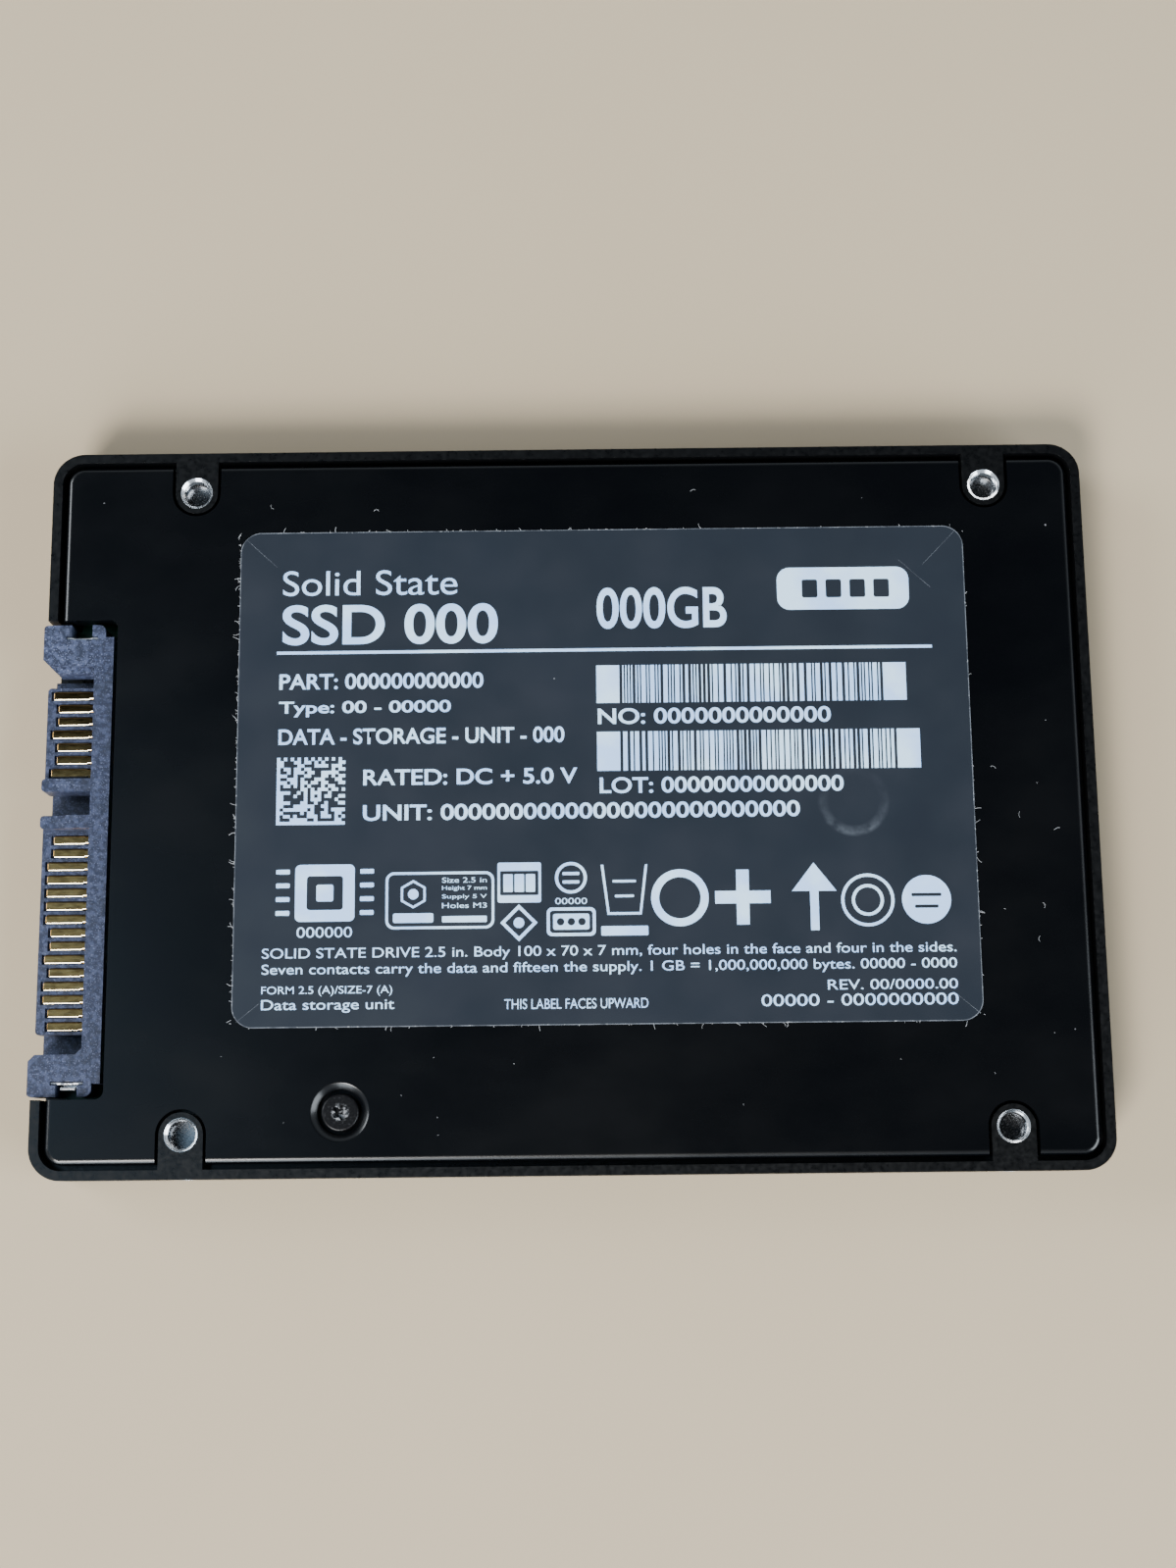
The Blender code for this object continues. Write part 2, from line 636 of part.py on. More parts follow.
def contact_channels():
    """Cutters for the groove and the tunnel that each contact lies in."""
    side = HALF_CONTACT + CONTACT_CLEARANCE
    return joined([
        block(
            from_front(setback - CONTACT_CLEARANCE),
            from_front(BAR_BACK + OVERCUT),
            y - side,
            y + side,
            CONTACT_UNDER - CONTACT_CLEARANCE,
            CONTACT_TOP + CONTACT_CLEARANCE,
        )
        for _, y, setback in contact_places()
    ])


def nosed(y0, y1, low, high):
    """A slab between two Y values that runs from the bar to its rounded front end."""
    x0, x1 = from_front(-TONGUE_PROUD), from_front(BAR_FRONT + BAR_THICKNESS / 2)
    y0, y1 = sorted((y0, y1))
    outline = [
        *arc(x0 + NOSE_RADIUS, y0 + NOSE_RADIUS, NOSE_RADIUS, 180, 270, 3),
        (x1, y0),
        (x1, y1),
        *arc(x0 + NOSE_RADIUS, y1 - NOSE_RADIUS, NOSE_RADIUS, 90, 180, 3),
    ]
    return plate(outline, low, high)


def tongue_and_key(outer, key_outer, name, housing):
    """One tongue from its free end to its key, and the key standing on it."""
    key_inner = key_outer - math.copysign(KEY_THICKNESS, key_outer - outer)
    tongue = nosed(outer, key_outer, TONGUE_UNDER, CONTACT_FACE)
    combine(housing, "UNION", tongue, name + "_tongue")
    sunk = TONGUE_UNDER + TONGUE_THICKNESS / 2
    key = nosed(key_outer, key_inner, sunk, CONTACT_FACE + KEY_HEIGHT)
    combine(housing, "UNION", key, name + "_key")


def make_housing(plastic):
    """The plug's moulding, with grooves for its contacts and slots for its hold-downs."""
    base = BOARD_TOP + SEAT_GAP
    housing = put(plate(frame_outline(), base, HOUSING_TOP), "connector_housing", plastic)
    front, back = from_front(BAR_FRONT), from_front(BAR_BACK)
    inner_upper, inner_lower = ARM_UPPER + BOARD_CLEARANCE, ARM_LOWER - BOARD_CLEARANCE
    shelf_under = SILL + SHELF_CLEARANCE
    wall = (HOUSING_TOP + base) / 2
    bar = block(front, back, inner_lower, inner_upper, shelf_under, wall)
    combine(housing, "UNION", bar, "bar_leg")
    middle = (front + back) / 2
    shelf = block(from_front(-SHELF_PROUD), middle, ARM_LOWER, ARM_UPPER, shelf_under, SHELF_TOP)
    combine(housing, "UNION", shelf, "shelf")
    tongue_and_key(SIGNAL_END, SIGNAL_KEY, "signal", housing)
    tongue_and_key(POWER_END, POWER_KEY, "power", housing)
    key_top = CONTACT_FACE + KEY_HEIGHT
    step = block(
        front - KEY_STEP_LENGTH,
        middle,
        POWER_KEY - KEY_THICKNESS,
        POWER_KEY,
        key_top - KEY_STEP,
        key_top + KEY_STEP,
    )
    combine(housing, "UNION", step, "power_key_step")
    combine(housing, "DIFFERENCE", arm_step(), "arm_step")
    combine(housing, "DIFFERENCE", contact_channels(), "contact_channels")
    combine(housing, "DIFFERENCE", hold_down_slots(), "hold_down_slots")
    combine(housing, "DIFFERENCE", hold_down_windows(), "hold_down_windows")


def hold_down_places():
    """(name, centre Y, direction of the housing's end) of the two hold-downs."""
    return (
        ("hold_down_upper", HOUSING_UPPER - HOLD_DOWN_INSET, 1),
        ("hold_down_lower", HOUSING_LOWER + HOLD_DOWN_INSET, -1),
    )


def hold_down_slots():
    side = HOLD_DOWN_THICKNESS / 2 + CONTACT_CLEARANCE
    x0 = from_front(HOLD_DOWN_FRONT) - CONTACT_CLEARANCE
    x1 = x0 + HOLD_DOWN_LENGTH + 2 * CONTACT_CLEARANCE
    return joined([
        block(x0, x1, y - side, y + side, BOARD_TOP - OVERCUT, HOUSING_TOP + OVERCUT)
        for _, y, _ in hold_down_places()
    ])


def hold_down_windows():
    """Cutters that open each slot to the housing's end."""
    middle = from_front(HOLD_DOWN_FRONT + HOLD_DOWN_LENGTH / 2)
    windows = []
    for _, y, way in hold_down_places():
        y0, y1 = sorted((y, y + way * (HOLD_DOWN_INSET + OVERCUT)))
        x0, x1 = middle - HOLD_DOWN_WINDOW / 2, middle + HOLD_DOWN_WINDOW / 2
        windows.append(block(x0, x1, y0, y1, BOARD_TOP - OVERCUT / 2, HOUSING_TOP + OVERCUT / 2))
    return joined(windows)


def make_hold_downs(steel):
    """T-shaped blades that lock the housing to the board."""
    x0 = from_front(HOLD_DOWN_FRONT)
    x1 = x0 + HOLD_DOWN_LENGTH
    leg = (HOLD_DOWN_LENGTH - HOLD_DOWN_LEG) / 2
    shoulder = BOARD_TOP + 2 * SEAT_GAP
    foot = BOARD_UNDER - HOLD_DOWN_REACH
    head = HOUSING_TOP - HOLD_DOWN_THICKNESS
    outline = [
        (x0, head), (x0, shoulder), (x0 + leg, shoulder), (x0 + leg, foot),
        (x1 - leg, foot), (x1 - leg, shoulder), (x1, shoulder), (x1, head),
    ]
    for name, y, _ in hold_down_places():
        half = HOLD_DOWN_THICKNESS / 2
        put(plate(outline, y - half, y + half, across=True), name, steel)


def make_contacts(gold):
    """22 gold blades, each with a solder tail that steps down to the board."""
    bend = from_front(BAR_BACK + 2 * CONTACT_CLEARANCE)
    foot = BOARD_TOP + SEAT_GAP
    drop = CONTACT_UNDER - foot
    tail = bend + drop + TAIL_LENGTH
    nose = CONTACT_THICKNESS / 2
    for name, y, setback in contact_places():
        tip = from_front(setback)
        outline = [
            (tip, CONTACT_UNDER),
            (bend, CONTACT_UNDER),
            (bend + drop, foot),
            (tail, foot),
            (tail, foot + CONTACT_THICKNESS),
            (bend + drop + nose, foot + CONTACT_THICKNESS),
            (bend + nose, CONTACT_TOP),
            (tip + nose, CONTACT_TOP),
            (tip, CONTACT_TOP - nose),
        ]
        blade = plate(outline, y - HALF_CONTACT, y + HALF_CONTACT, across=True)
        put(blade, name, gold)


def board_outline():
    """The board: wide behind the connector, with two ears beside it under the guide arms."""
    half = HALF_WIDTH - RIM - LEDGE - BOARD_CLEARANCE
    inside = from_front(RIM + LEDGE + BOARD_CLEARANCE)
    ear = from_front(EAR_FRONT)
    end, cut = from_front(BOARD_END), from_front(BAR_BACK + BOARD_CLEARANCE)
    boss = BOSS_RADIUS + LEDGE + BOARD_CLEARANCE
    lower, upper = (
        [bite for bite in boss_bites(side, boss) if bite[0] < end - boss] for side in (-1, 1)
    )
    x, y = screw_places()["cover_screw_exposed"]
    lower.append((x, y, PILLAR_RADIUS + BOARD_CLEARANCE))
    gap = 2 * BOARD_CLEARANCE
    return [
        (inside, -half),
        *bitten_edge(-1, -half, lower),
        (end, -half),
        (end, half),
        *bitten_edge(1, half, upper),
        (inside, half),
        (inside, HOUSING_UPPER),
        (ear, HOUSING_UPPER),
        (ear, ARM_UPPER + gap),
        (cut, ARM_UPPER + gap),
        (cut, ARM_LOWER - gap),
        (ear, ARM_LOWER - gap),
        (ear, HOUSING_LOWER),
        (inside, HOUSING_LOWER),
    ]


def make_board(laminate):
    board = put(plate(board_outline(), BOARD_UNDER, BOARD_TOP), "circuit_board", laminate)
    radius = PILLAR_RADIUS + BOARD_CLEARANCE
    low, high = BOARD_UNDER - OVERCUT, BOARD_TOP + OVERCUT
    hole = turned([(0, high), (radius, high), (radius, low), (0, low)])
    hole.data.transform(Matrix.Translation((*screw_places()["cover_screw_upper"], 0)))
    combine(board, "DIFFERENCE", hole, "pillar_hole")
    middle = from_front(HOLD_DOWN_FRONT + HOLD_DOWN_LENGTH / 2)
    length = HOLD_DOWN_LEG / 2 + CONTACT_CLEARANCE
    side = HOLD_DOWN_THICKNESS / 2 + CONTACT_CLEARANCE
    slots = joined([
        block(middle - length, middle + length, y - side, y + side, low, high)
        for _, y, _ in hold_down_places()
    ])
    combine(board, "DIFFERENCE", slots, "leg_slots")


def make_chip(name, size, at, body, under=False):
    """A package on the board's upper or, with under, lower face. Returns its outer face's height."""
    x, y = from_front(at[0]), at[1]
    length, width, height = size
    low = BOARD_UNDER - SEAT_GAP - height if under else BOARD_TOP + SEAT_GAP
    box = block(x - length / 2, x + length / 2, y - width / 2, y + width / 2, low, low + height)
    put(box, name, body)
    return low if under else low + height


def make_pad(name, size, at, low, high, filler):
    """A soft pad that fills the gap between a chip and the shell."""
    x, y = from_front(at[0]), at[1]
    length, width = size[0] / 2 - PAD_MARGIN, size[1] / 2 - PAD_MARGIN
    box = block(x - length, x + length, y - width, y + width, low + SEAT_GAP, high - SEAT_GAP)
    put(box, name, filler)


def make_electronics(epoxy, ferrite, tantalum, can, filler):
    flash = [(BOARD_END - FLASH_FROM_END, y) for y in FLASH_ROWS]
    for i, at in enumerate(flash):
        top = make_chip(f"flash_chip_{i + 1}", FLASH_SIZE, at, epoxy)
        make_pad(f"cover_pad_{i + 1}", FLASH_SIZE, at, top, COVER_UNDER, filler)
        make_chip(f"flash_chip_{i + 1 + len(flash)}", FLASH_SIZE, at, epoxy, under=True)
    under = make_chip("controller_chip", CONTROLLER_SIZE, CONTROLLER_AT, epoxy, under=True)
    make_pad("thermal_pad", CONTROLLER_SIZE, CONTROLLER_AT, FLOOR, under, filler)
    make_chip("buffer_chip", BUFFER_SIZE, BUFFER_AT, epoxy, under=True)
    make_chip("power_chip", POWER_CHIP_SIZE, POWER_CHIP_AT, epoxy)
    make_chip("crystal", CRYSTAL_SIZE, CRYSTAL_AT, can)
    for i, at in enumerate(INDUCTOR_AT):
        make_chip(f"inductor_{i + 1}", INDUCTOR_SIZE, at, ferrite)
    for i, at in enumerate(CAPACITOR_AT):
        make_chip(f"capacitor_{i + 1}", CAPACITOR_SIZE, at, tantalum)


def main():
    for obj in list(bpy.data.objects):
        bpy.data.objects.remove(obj)
    for collection in (parts, helpers):
        bpy.context.scene.collection.children.link(collection)
    helpers.hide_render = True
    paint = material("black_paint", (0.012, 0.014, 0.018), 0.45, 0.3)
    make_case(paint)
    make_cover(paint)
    make_label(material("label_film", (0.075, 0.09, 0.115), 0.5))
    make_screws(material("black_steel", (0.02, 0.02, 0.022), 0.35, 0.8))
    make_housing(material("black_nylon", (0.045, 0.055, 0.08), 0.6))
    make_contacts(material("gold_plate", (0.75, 0.58, 0.28), 0.3, 1.0))
    make_hold_downs(material("tinned_brass", (0.75, 0.74, 0.7), 0.3, 1.0))
    make_board(material("solder_mask", (0.01, 0.12, 0.06), 0.35))
    make_electronics(
        epoxy=material("chip_epoxy", (0.02, 0.02, 0.022), 0.55),
        ferrite=material("ferrite", (0.08, 0.08, 0.085), 0.6),
        tantalum=material("tantalum_case", (0.45, 0.25, 0.06), 0.5),
        can=material("crystal_can", (0.6, 0.6, 0.6), 0.3, 1.0),
        filler=material("gap_filler", (0.45, 0.5, 0.55), 0.8),
    )


main()
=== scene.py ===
"""The looks of a 2.5-inch solid state drive, lying label side up on a pale floor.

Metres, +Z up out of the label side, +X away from the connector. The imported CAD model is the
frame: boxes of its nodes give the places, and finer pieces stand for the ones that show.
"""

import math
import random

import bmesh
import bpy
from mathutils import Matrix, Vector


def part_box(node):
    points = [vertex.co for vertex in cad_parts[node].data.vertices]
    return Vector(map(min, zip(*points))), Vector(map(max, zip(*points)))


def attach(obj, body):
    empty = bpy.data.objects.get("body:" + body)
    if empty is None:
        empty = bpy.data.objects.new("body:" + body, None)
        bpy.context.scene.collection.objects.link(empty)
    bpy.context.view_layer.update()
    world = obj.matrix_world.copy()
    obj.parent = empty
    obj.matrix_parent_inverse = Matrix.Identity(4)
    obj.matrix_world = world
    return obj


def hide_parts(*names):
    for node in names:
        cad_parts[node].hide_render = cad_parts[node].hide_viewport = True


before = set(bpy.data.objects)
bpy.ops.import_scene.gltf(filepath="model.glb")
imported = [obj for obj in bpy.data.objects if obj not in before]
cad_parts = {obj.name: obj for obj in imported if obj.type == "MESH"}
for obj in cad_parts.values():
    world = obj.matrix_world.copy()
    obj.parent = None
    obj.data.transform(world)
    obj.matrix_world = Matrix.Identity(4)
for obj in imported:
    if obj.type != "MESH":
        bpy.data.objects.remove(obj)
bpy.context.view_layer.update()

MM = 0.001
BODY = "root"

# Camera, as the photograph was taken
AIM = (1.8 * MM, 1.55 * MM)
DISTANCE = 201.1 * MM
ELEVATION = math.radians(79.1)
AZIMUTH = math.radians(-0.35)
ROLL = math.radians(-0.97)
LENS = 48.74
SENSOR_WIDTH = 36

STAGE_HALF = 5
STAGE_THICKNESS = 0.01

# Shell
CASE_CORNER_RADIUS = 3.0 * MM
CASE_EDGE_RADIUS = 0.6 * MM
RIM_EDGE_RADIUS = 0.2 * MM
RIM = 0.9 * MM
LEDGE = 1.3 * MM
FLOOR = 0.8 * MM
SILL = 0.9 * MM
FRONT_HOLE_INSET = 14.0 * MM
BACK_HOLE_INSET = 9.4 * MM
SIDE_HOLE_INSET = 4.065 * MM
SIDE_HOLE_DROP = 3.0 * MM
BOSS_RADIUS = 2.05 * MM
THREAD_RADIUS = 1.42 * MM
THREAD_DEPTH = 0.13 * MM
THREAD_PITCH = 0.5 * MM
TAPPING_DEPTH = 3.4 * MM
SIDE_TAPPING_DEPTH = 2.5 * MM
HOLE_CHAMFER = 0.14 * MM
HOLE_BOTTOM = 1.7 * MM  # how deep a hole looks
BOSS_GROOVE = 0.3 * MM
COVER_SHEET = 0.6 * MM
COVER_EDGE_RADIUS = 0.59 * MM
NOTCH_DEPTH = 6.75 * MM
NOTCH_CORNER_RADIUS = 0.8 * MM
POCKET_DEPTH = 1.25 * MM
POCKET_MOUTH_RADIUS = 2.75 * MM
POCKET_SEAT_RADIUS = 2.1 * MM
POCKET_LIP = POCKET_MOUTH_RADIUS - POCKET_SEAT_RADIUS
POCKET_BEVEL = 0.55 * MM
LIP_CURVE = 1.4
SHANK_HOLE_RADIUS = 1.15 * MM
PILLAR_RADIUS = 2.4 * MM
SOFT_EDGE = 0.05 * MM
CUT_EDGE = 0.12 * MM

# Screws
HEAD_EDGE = 0.22 * MM
SHANK_RADIUS = 1.0 * MM
HEAD_HEIGHT = 0.8 * MM
DRIVE_RADIUS = 0.62 * MM
DRIVE_LOBE = 0.14 * MM
DRIVE_DEPTH = 0.4 * MM
RUB_AND_GLINT_RADIUS = 0.6 * MM  # bright metal in the exposed screw's recess reaches this far: rubbed by the driver, and painted glints

# Connector
HOUSING_CLEARANCE = 0.3 * MM
ARM_UPPER = 13.15 * MM
ARM_LOWER = -23.35 * MM
ARM_CHAMFER = 1.3 * MM
LOWER_ARM_CHAMFER = 0.6 * MM
ARM_STEP_WIDTH = 0.65 * MM
ARM_STEP_DROP = 0.5 * MM
BAR_THICKNESS = 1.8 * MM
BAR_STEP = 1.2 * MM
EAR_SHORTFALL = 0.8 * MM
SHELF_PROUD = 0.2 * MM
SHELF_TOP = 1.67 * MM
TONGUE_THICKNESS = 1.23 * MM
TONGUE_PROUD = 0.45 * MM
TONGUE_END_WALL = 0.35 * MM
NOSE_RADIUS = 0.35 * MM
KEY_HEIGHT = 1.2 * MM
KEY_THICKNESS = 1.25 * MM
KEY_GAP = 2.35 * MM
KEY_STEP = 0.4 * MM
KEY_STEP_LENGTH = 2.4 * MM
CONTACT_PROUD = 0.05 * MM
CONTACT_CLEARANCE = 0.05 * MM
CONTACT_THICKNESS = 0.28 * MM
TIP_GAP = 0.2 * MM
HOUSING_EDGE = 0.08 * MM
CONTACT_EDGE = 0.135 * MM
CONTACT_NECK = 0.75 * MM
CONTACT_NECK_SHARE = 0.78
CONTACT_TIP_TAPER = 0.35
BLADE_EDGE = 0.11 * MM
BLADE_WINDOW = 2.0 * MM
BLADE_LEG = 1.9 * MM
BLADE_GAP = 1.2 * MM
BLADE_NICK = 0.25 * MM
LIP_WIDTH = 1.45 * MM
LIP_REACH = 0.66 * MM
LIP_SHEET = 0.32 * MM
LIP_RISE = 1.1 * MM
LIP_DROP = 1.45 * MM

# Label and its print
LABEL_CORNER_RADIUS = 2.0 * MM
INK_LIFT = 0.014 * MM
CAPITAL = 1.55  # height of the small capitals, in mm
EDGE_WIDTH = 0.08 * MM
# Size of the painted highlight ring on the label
RING_HIGHLIGHT_RADIUS = 3.1 * MM
SLIT_DEPTH = 0.01 * MM
RING_HIGHLIGHT_WIDTH = 0.75 * MM
LINT = 170
DUST = 24
DUST_MARGIN = 2 * MM
SCREW_MARGIN = 4 * MM  # dust keeps this far from a cover screw
HOLE_MARGIN = 5 * MM
DUST_RADIUS = 0.016 * MM
FIBRE_RADIUS = 0.02 * MM
HAIR_STEPS = 4

OVERCUT = 1.0 * MM
WELD = 0.001 * MM
ARC_STEPS = 16
ROUND_SIDES = 64
THREAD_STEPS = 48
SMOOTH_ANGLE = math.radians(32)
BEVEL_ANGLE = math.radians(40)
FLAT_COSINE = math.cos(math.radians(0.5))

case_low, case_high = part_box("case")
cover_low, cover_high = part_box("cover")
label_low, label_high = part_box("label")
housing_low, housing_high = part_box("connector_housing")
X_FRONT, X_BACK = case_low.x, case_high.x
HALF_WIDTH = case_high.y
RIM_HEIGHT = case_high.z
COVER_TOP = cover_high.z
COVER_INSET = cover_low.x - case_low.x
POCKET_FLOOR = COVER_TOP - POCKET_DEPTH
SIGNALS = sorted(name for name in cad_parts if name.startswith("signal_contact"))
POWERS = sorted(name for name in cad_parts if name.startswith("power_contact"))
CONTACT_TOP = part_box(SIGNALS[0])[1].z
CONTACT_FACE = CONTACT_TOP - CONTACT_PROUD
TONGUE_UNDER = CONTACT_FACE - TONGUE_THICKNESS
BAR_BACK = housing_high.x
BAR_FRONT = BAR_BACK - BAR_THICKNESS
SCREWS = ("cover_screw_exposed", "cover_screw_upper", "cover_screw_rear")


# Shapes


def arc(cx, cy, radius, start, end, steps=ARC_STEPS):
    """Points on an arc about (cx, cy), from the start to the end angle in degrees."""
    angles = [math.radians(start + (end - start) * i / steps) for i in range(steps + 1)]
    return [(cx + radius * math.cos(a), cy + radius * math.sin(a)) for a in angles]


def rounded_rectangle(x0, x1, y0, y1, radius, steps=ARC_STEPS):
    corners = ((x0, y0, 180), (x1, y0, 270), (x1, y1, 0), (x0, y1, 90))
    points = []
    for x, y, start in corners:
        cx = x + radius if x == x0 else x - radius
        cy = y + radius if y == y0 else y - radius
        points += arc(cx, cy, radius, start, start + 90, steps)
    return points


def linked(obj):
    if not obj.users_collection:
        bpy.context.scene.collection.objects.link(obj)
    return obj


def baked(obj):
    """Turns an object and its modifiers into a plain mesh object in its place."""
    linked(obj)
    bpy.context.view_layer.update()
    graph = bpy.context.evaluated_depsgraph_get()
    mesh = bpy.data.meshes.new_from_object(obj.evaluated_get(graph))
    mesh.transform(obj.matrix_world)
    made = bpy.data.objects.new(obj.name, mesh)
    bpy.data.objects.remove(obj)
    return linked(made)


def welded(obj):
    """Joins the doubled edges of an object's mesh, and turns its faces outwards."""
    bm = bmesh.new()
    bm.from_mesh(obj.data)
    bmesh.ops.remove_doubles(bm, verts=bm.verts, dist=WELD)
    bmesh.ops.recalc_face_normals(bm, faces=bm.faces)
    bm.to_mesh(obj.data)
    bm.free()
    return obj


def flat_curve(outlines):
    """A filled 2D curve; an outline inside another is a hole."""
    data = bpy.data.curves.new("outline", "CURVE")
    data.dimensions = "2D"
    data.fill_mode = "BOTH"
    for outline in outlines:
        spline = data.splines.new("POLY")
        spline.points.add(len(outline) - 1)
        for point, (x, y) in zip(spline.points, outline):
            point.co = (x, y, 0, 1)
        spline.use_cyclic_u = True
    return bpy.data.objects.new("outline", data)


def plate(outline, low, high, edge_radius=0.0, across=False, edge_steps=3):
    """A flat solid of the outline from low to high, along Z or, with across, along -Y."""
    curve = flat_curve([outline])
    curve.data.extrude = (high - low) / 2 - edge_radius
    curve.data.bevel_depth = edge_radius
    curve.data.bevel_resolution = edge_steps
    curve.data.offset = -edge_radius
    middle = (low + high) / 2
    if across:
        turn = Matrix.Rotation(math.pi / 2, 4, "X")
        curve.matrix_world = Matrix.Translation((0, middle, 0)) @ turn
    else:
        curve.matrix_world = Matrix.Translation((0, 0, middle))
    return welded(baked(curve))


def mesh_object(bm, name):
    """A mesh object of what a bmesh holds."""
    mesh = bpy.data.meshes.new(name)
    bm.to_mesh(mesh)
    bm.free()
    return linked(bpy.data.objects.new(name, mesh))


def block(x0, x1, y0, y1, z0, z1):
    """A box between two corners."""
    bm = bmesh.new()
    bmesh.ops.create_cube(bm, size=1)
    size = Matrix.Diagonal((x1 - x0, y1 - y0, z1 - z0, 1))
    place = Matrix.Translation(((x0 + x1) / 2, (y0 + y1) / 2, (z0 + z1) / 2))
    bm.transform(place @ size)
    return mesh_object(bm, "block")


def turned(profile, steps=ROUND_SIDES, pitch=0.0, turns=1):
    """A solid turned about Z from (radius, height) points, from the top down the outside."""
    mesh = bpy.data.meshes.new("turned")
    points = [(radius, 0, height) for radius, height in profile]
    mesh.from_pydata(points, [(i, i + 1) for i in range(len(points) - 1)], [])
    obj = bpy.data.objects.new("turned", mesh)
    screw = obj.modifiers.new("turn", "SCREW")
    screw.steps = screw.render_steps = steps
    screw.screw_offset = -pitch
    screw.iterations = turns
    screw.use_merge_vertices = True
    screw.merge_threshold = WELD
    return welded(baked(obj))


def cylinder(radius, low, high):
    return turned([(0, high), (radius, high), (radius, low), (0, low)])


def moved(obj, matrix):
    obj.data.transform(matrix)
    return obj


def copies(obj, matrices):
    """One mesh object with a copy of obj's mesh at each matrix. Removes obj."""
    bm = bmesh.new()
    for matrix in matrices:
        mesh = obj.data.copy()
        mesh.transform(matrix)
        bm.from_mesh(mesh)
        bpy.data.meshes.remove(mesh)
    bpy.data.objects.remove(obj)
    return mesh_object(bm, "copies")


def joined(pieces):
    """Several mesh objects as one."""
    bm = bmesh.new()
    for piece in pieces:
        bm.from_mesh(piece.data)
        bpy.data.objects.remove(piece)
    return mesh_object(bm, "joined")


def boolean(obj, operation, other):
    """obj with a Boolean of another solid applied. Removes the other."""
    modifier = linked(obj).modifiers.new("boolean", "BOOLEAN")
    modifier.operation = operation
    modifier.object = linked(other)
    modifier.solver = "EXACT"
    made = baked(obj)
    bpy.data.objects.remove(other)
    return made


def cut(obj, *cutters):
    for cutter in cutters:
        obj = boolean(obj, "DIFFERENCE", cutter)
    return obj


def fused(obj, *others):
    for other in others:
        obj = boolean(obj, "UNION", other)
    return obj


def softened(obj, width, segments=2):
    """Rounds an object's sharp edges a little."""
    bevel = obj.modifiers.new("bevel", "BEVEL")
    bevel.width = width
    bevel.segments = segments
    bevel.limit_method = "ANGLE"
    bevel.angle_limit = BEVEL_ANGLE
    return baked(obj)


def flat_areas(bm):
    """The area of the flat that each face is part of."""
    areas = [0.0] * len(bm.faces)
    for first in bm.faces:
        if areas[first.index]:
            continue
        flat, waiting = {first}, [first]
        while waiting:
            for edge in waiting.pop().edges:
                for face in edge.link_faces:
                    if face not in flat and face.normal.dot(first.normal) > FLAT_COSINE:
                        flat.add(face)
                        waiting.append(face)
        total = sum(face.calc_area() for face in flat)
        for face in flat:
            areas[face.index] = max(total, 1e-12)
    return areas


def shaded(obj):
    """Smooth normals that keep flats flat: where faces blend, the larger flat leads."""
    bm = bmesh.new()
    bm.from_mesh(obj.data)
    bm.faces.ensure_lookup_table()
    areas = flat_areas(bm)
    places = {loop: i for i, loop in enumerate(loop for face in bm.faces for loop in face.loops)}
    normals = [Vector((0, 0, 1))] * len(places)
    for vert in bm.verts:
        left = set(vert.link_faces)
        corners = {loop.face: loop for loop in vert.link_loops}
        while left:
            fan, waiting = [], [left.pop()]
            while waiting:
                face = waiting.pop()
                fan.append(face)
                for edge in face.edges:
                    if vert in edge.verts and edge.calc_face_angle(math.pi) < SMOOTH_ANGLE:
                        near = [other for other in edge.link_faces if other in left]
                        left.difference_update(near)
                        waiting += near
            normal = Vector()
            for face in fan:
                normal += face.normal * areas[face.index] * corners[face].calc_angle()
            for face in fan:
                normals[places[corners[face]]] = normal.normalized()
    bm.free()
    obj.data.shade_smooth()
    obj.data.normals_split_custom_set(normals)
    return obj


def piece(obj, name, material, slot=None, stands_for=(), solid=True):
    """Files a finished object as a shown piece that rides on the drive."""
    if solid:
        shaded(obj)
    obj.name = obj.data.name = name
    obj.data.materials.clear()
    obj.data.materials.append(material)
    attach(obj, BODY)
    if stands_for:
        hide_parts(*stands_for)
    return obj


# Materials


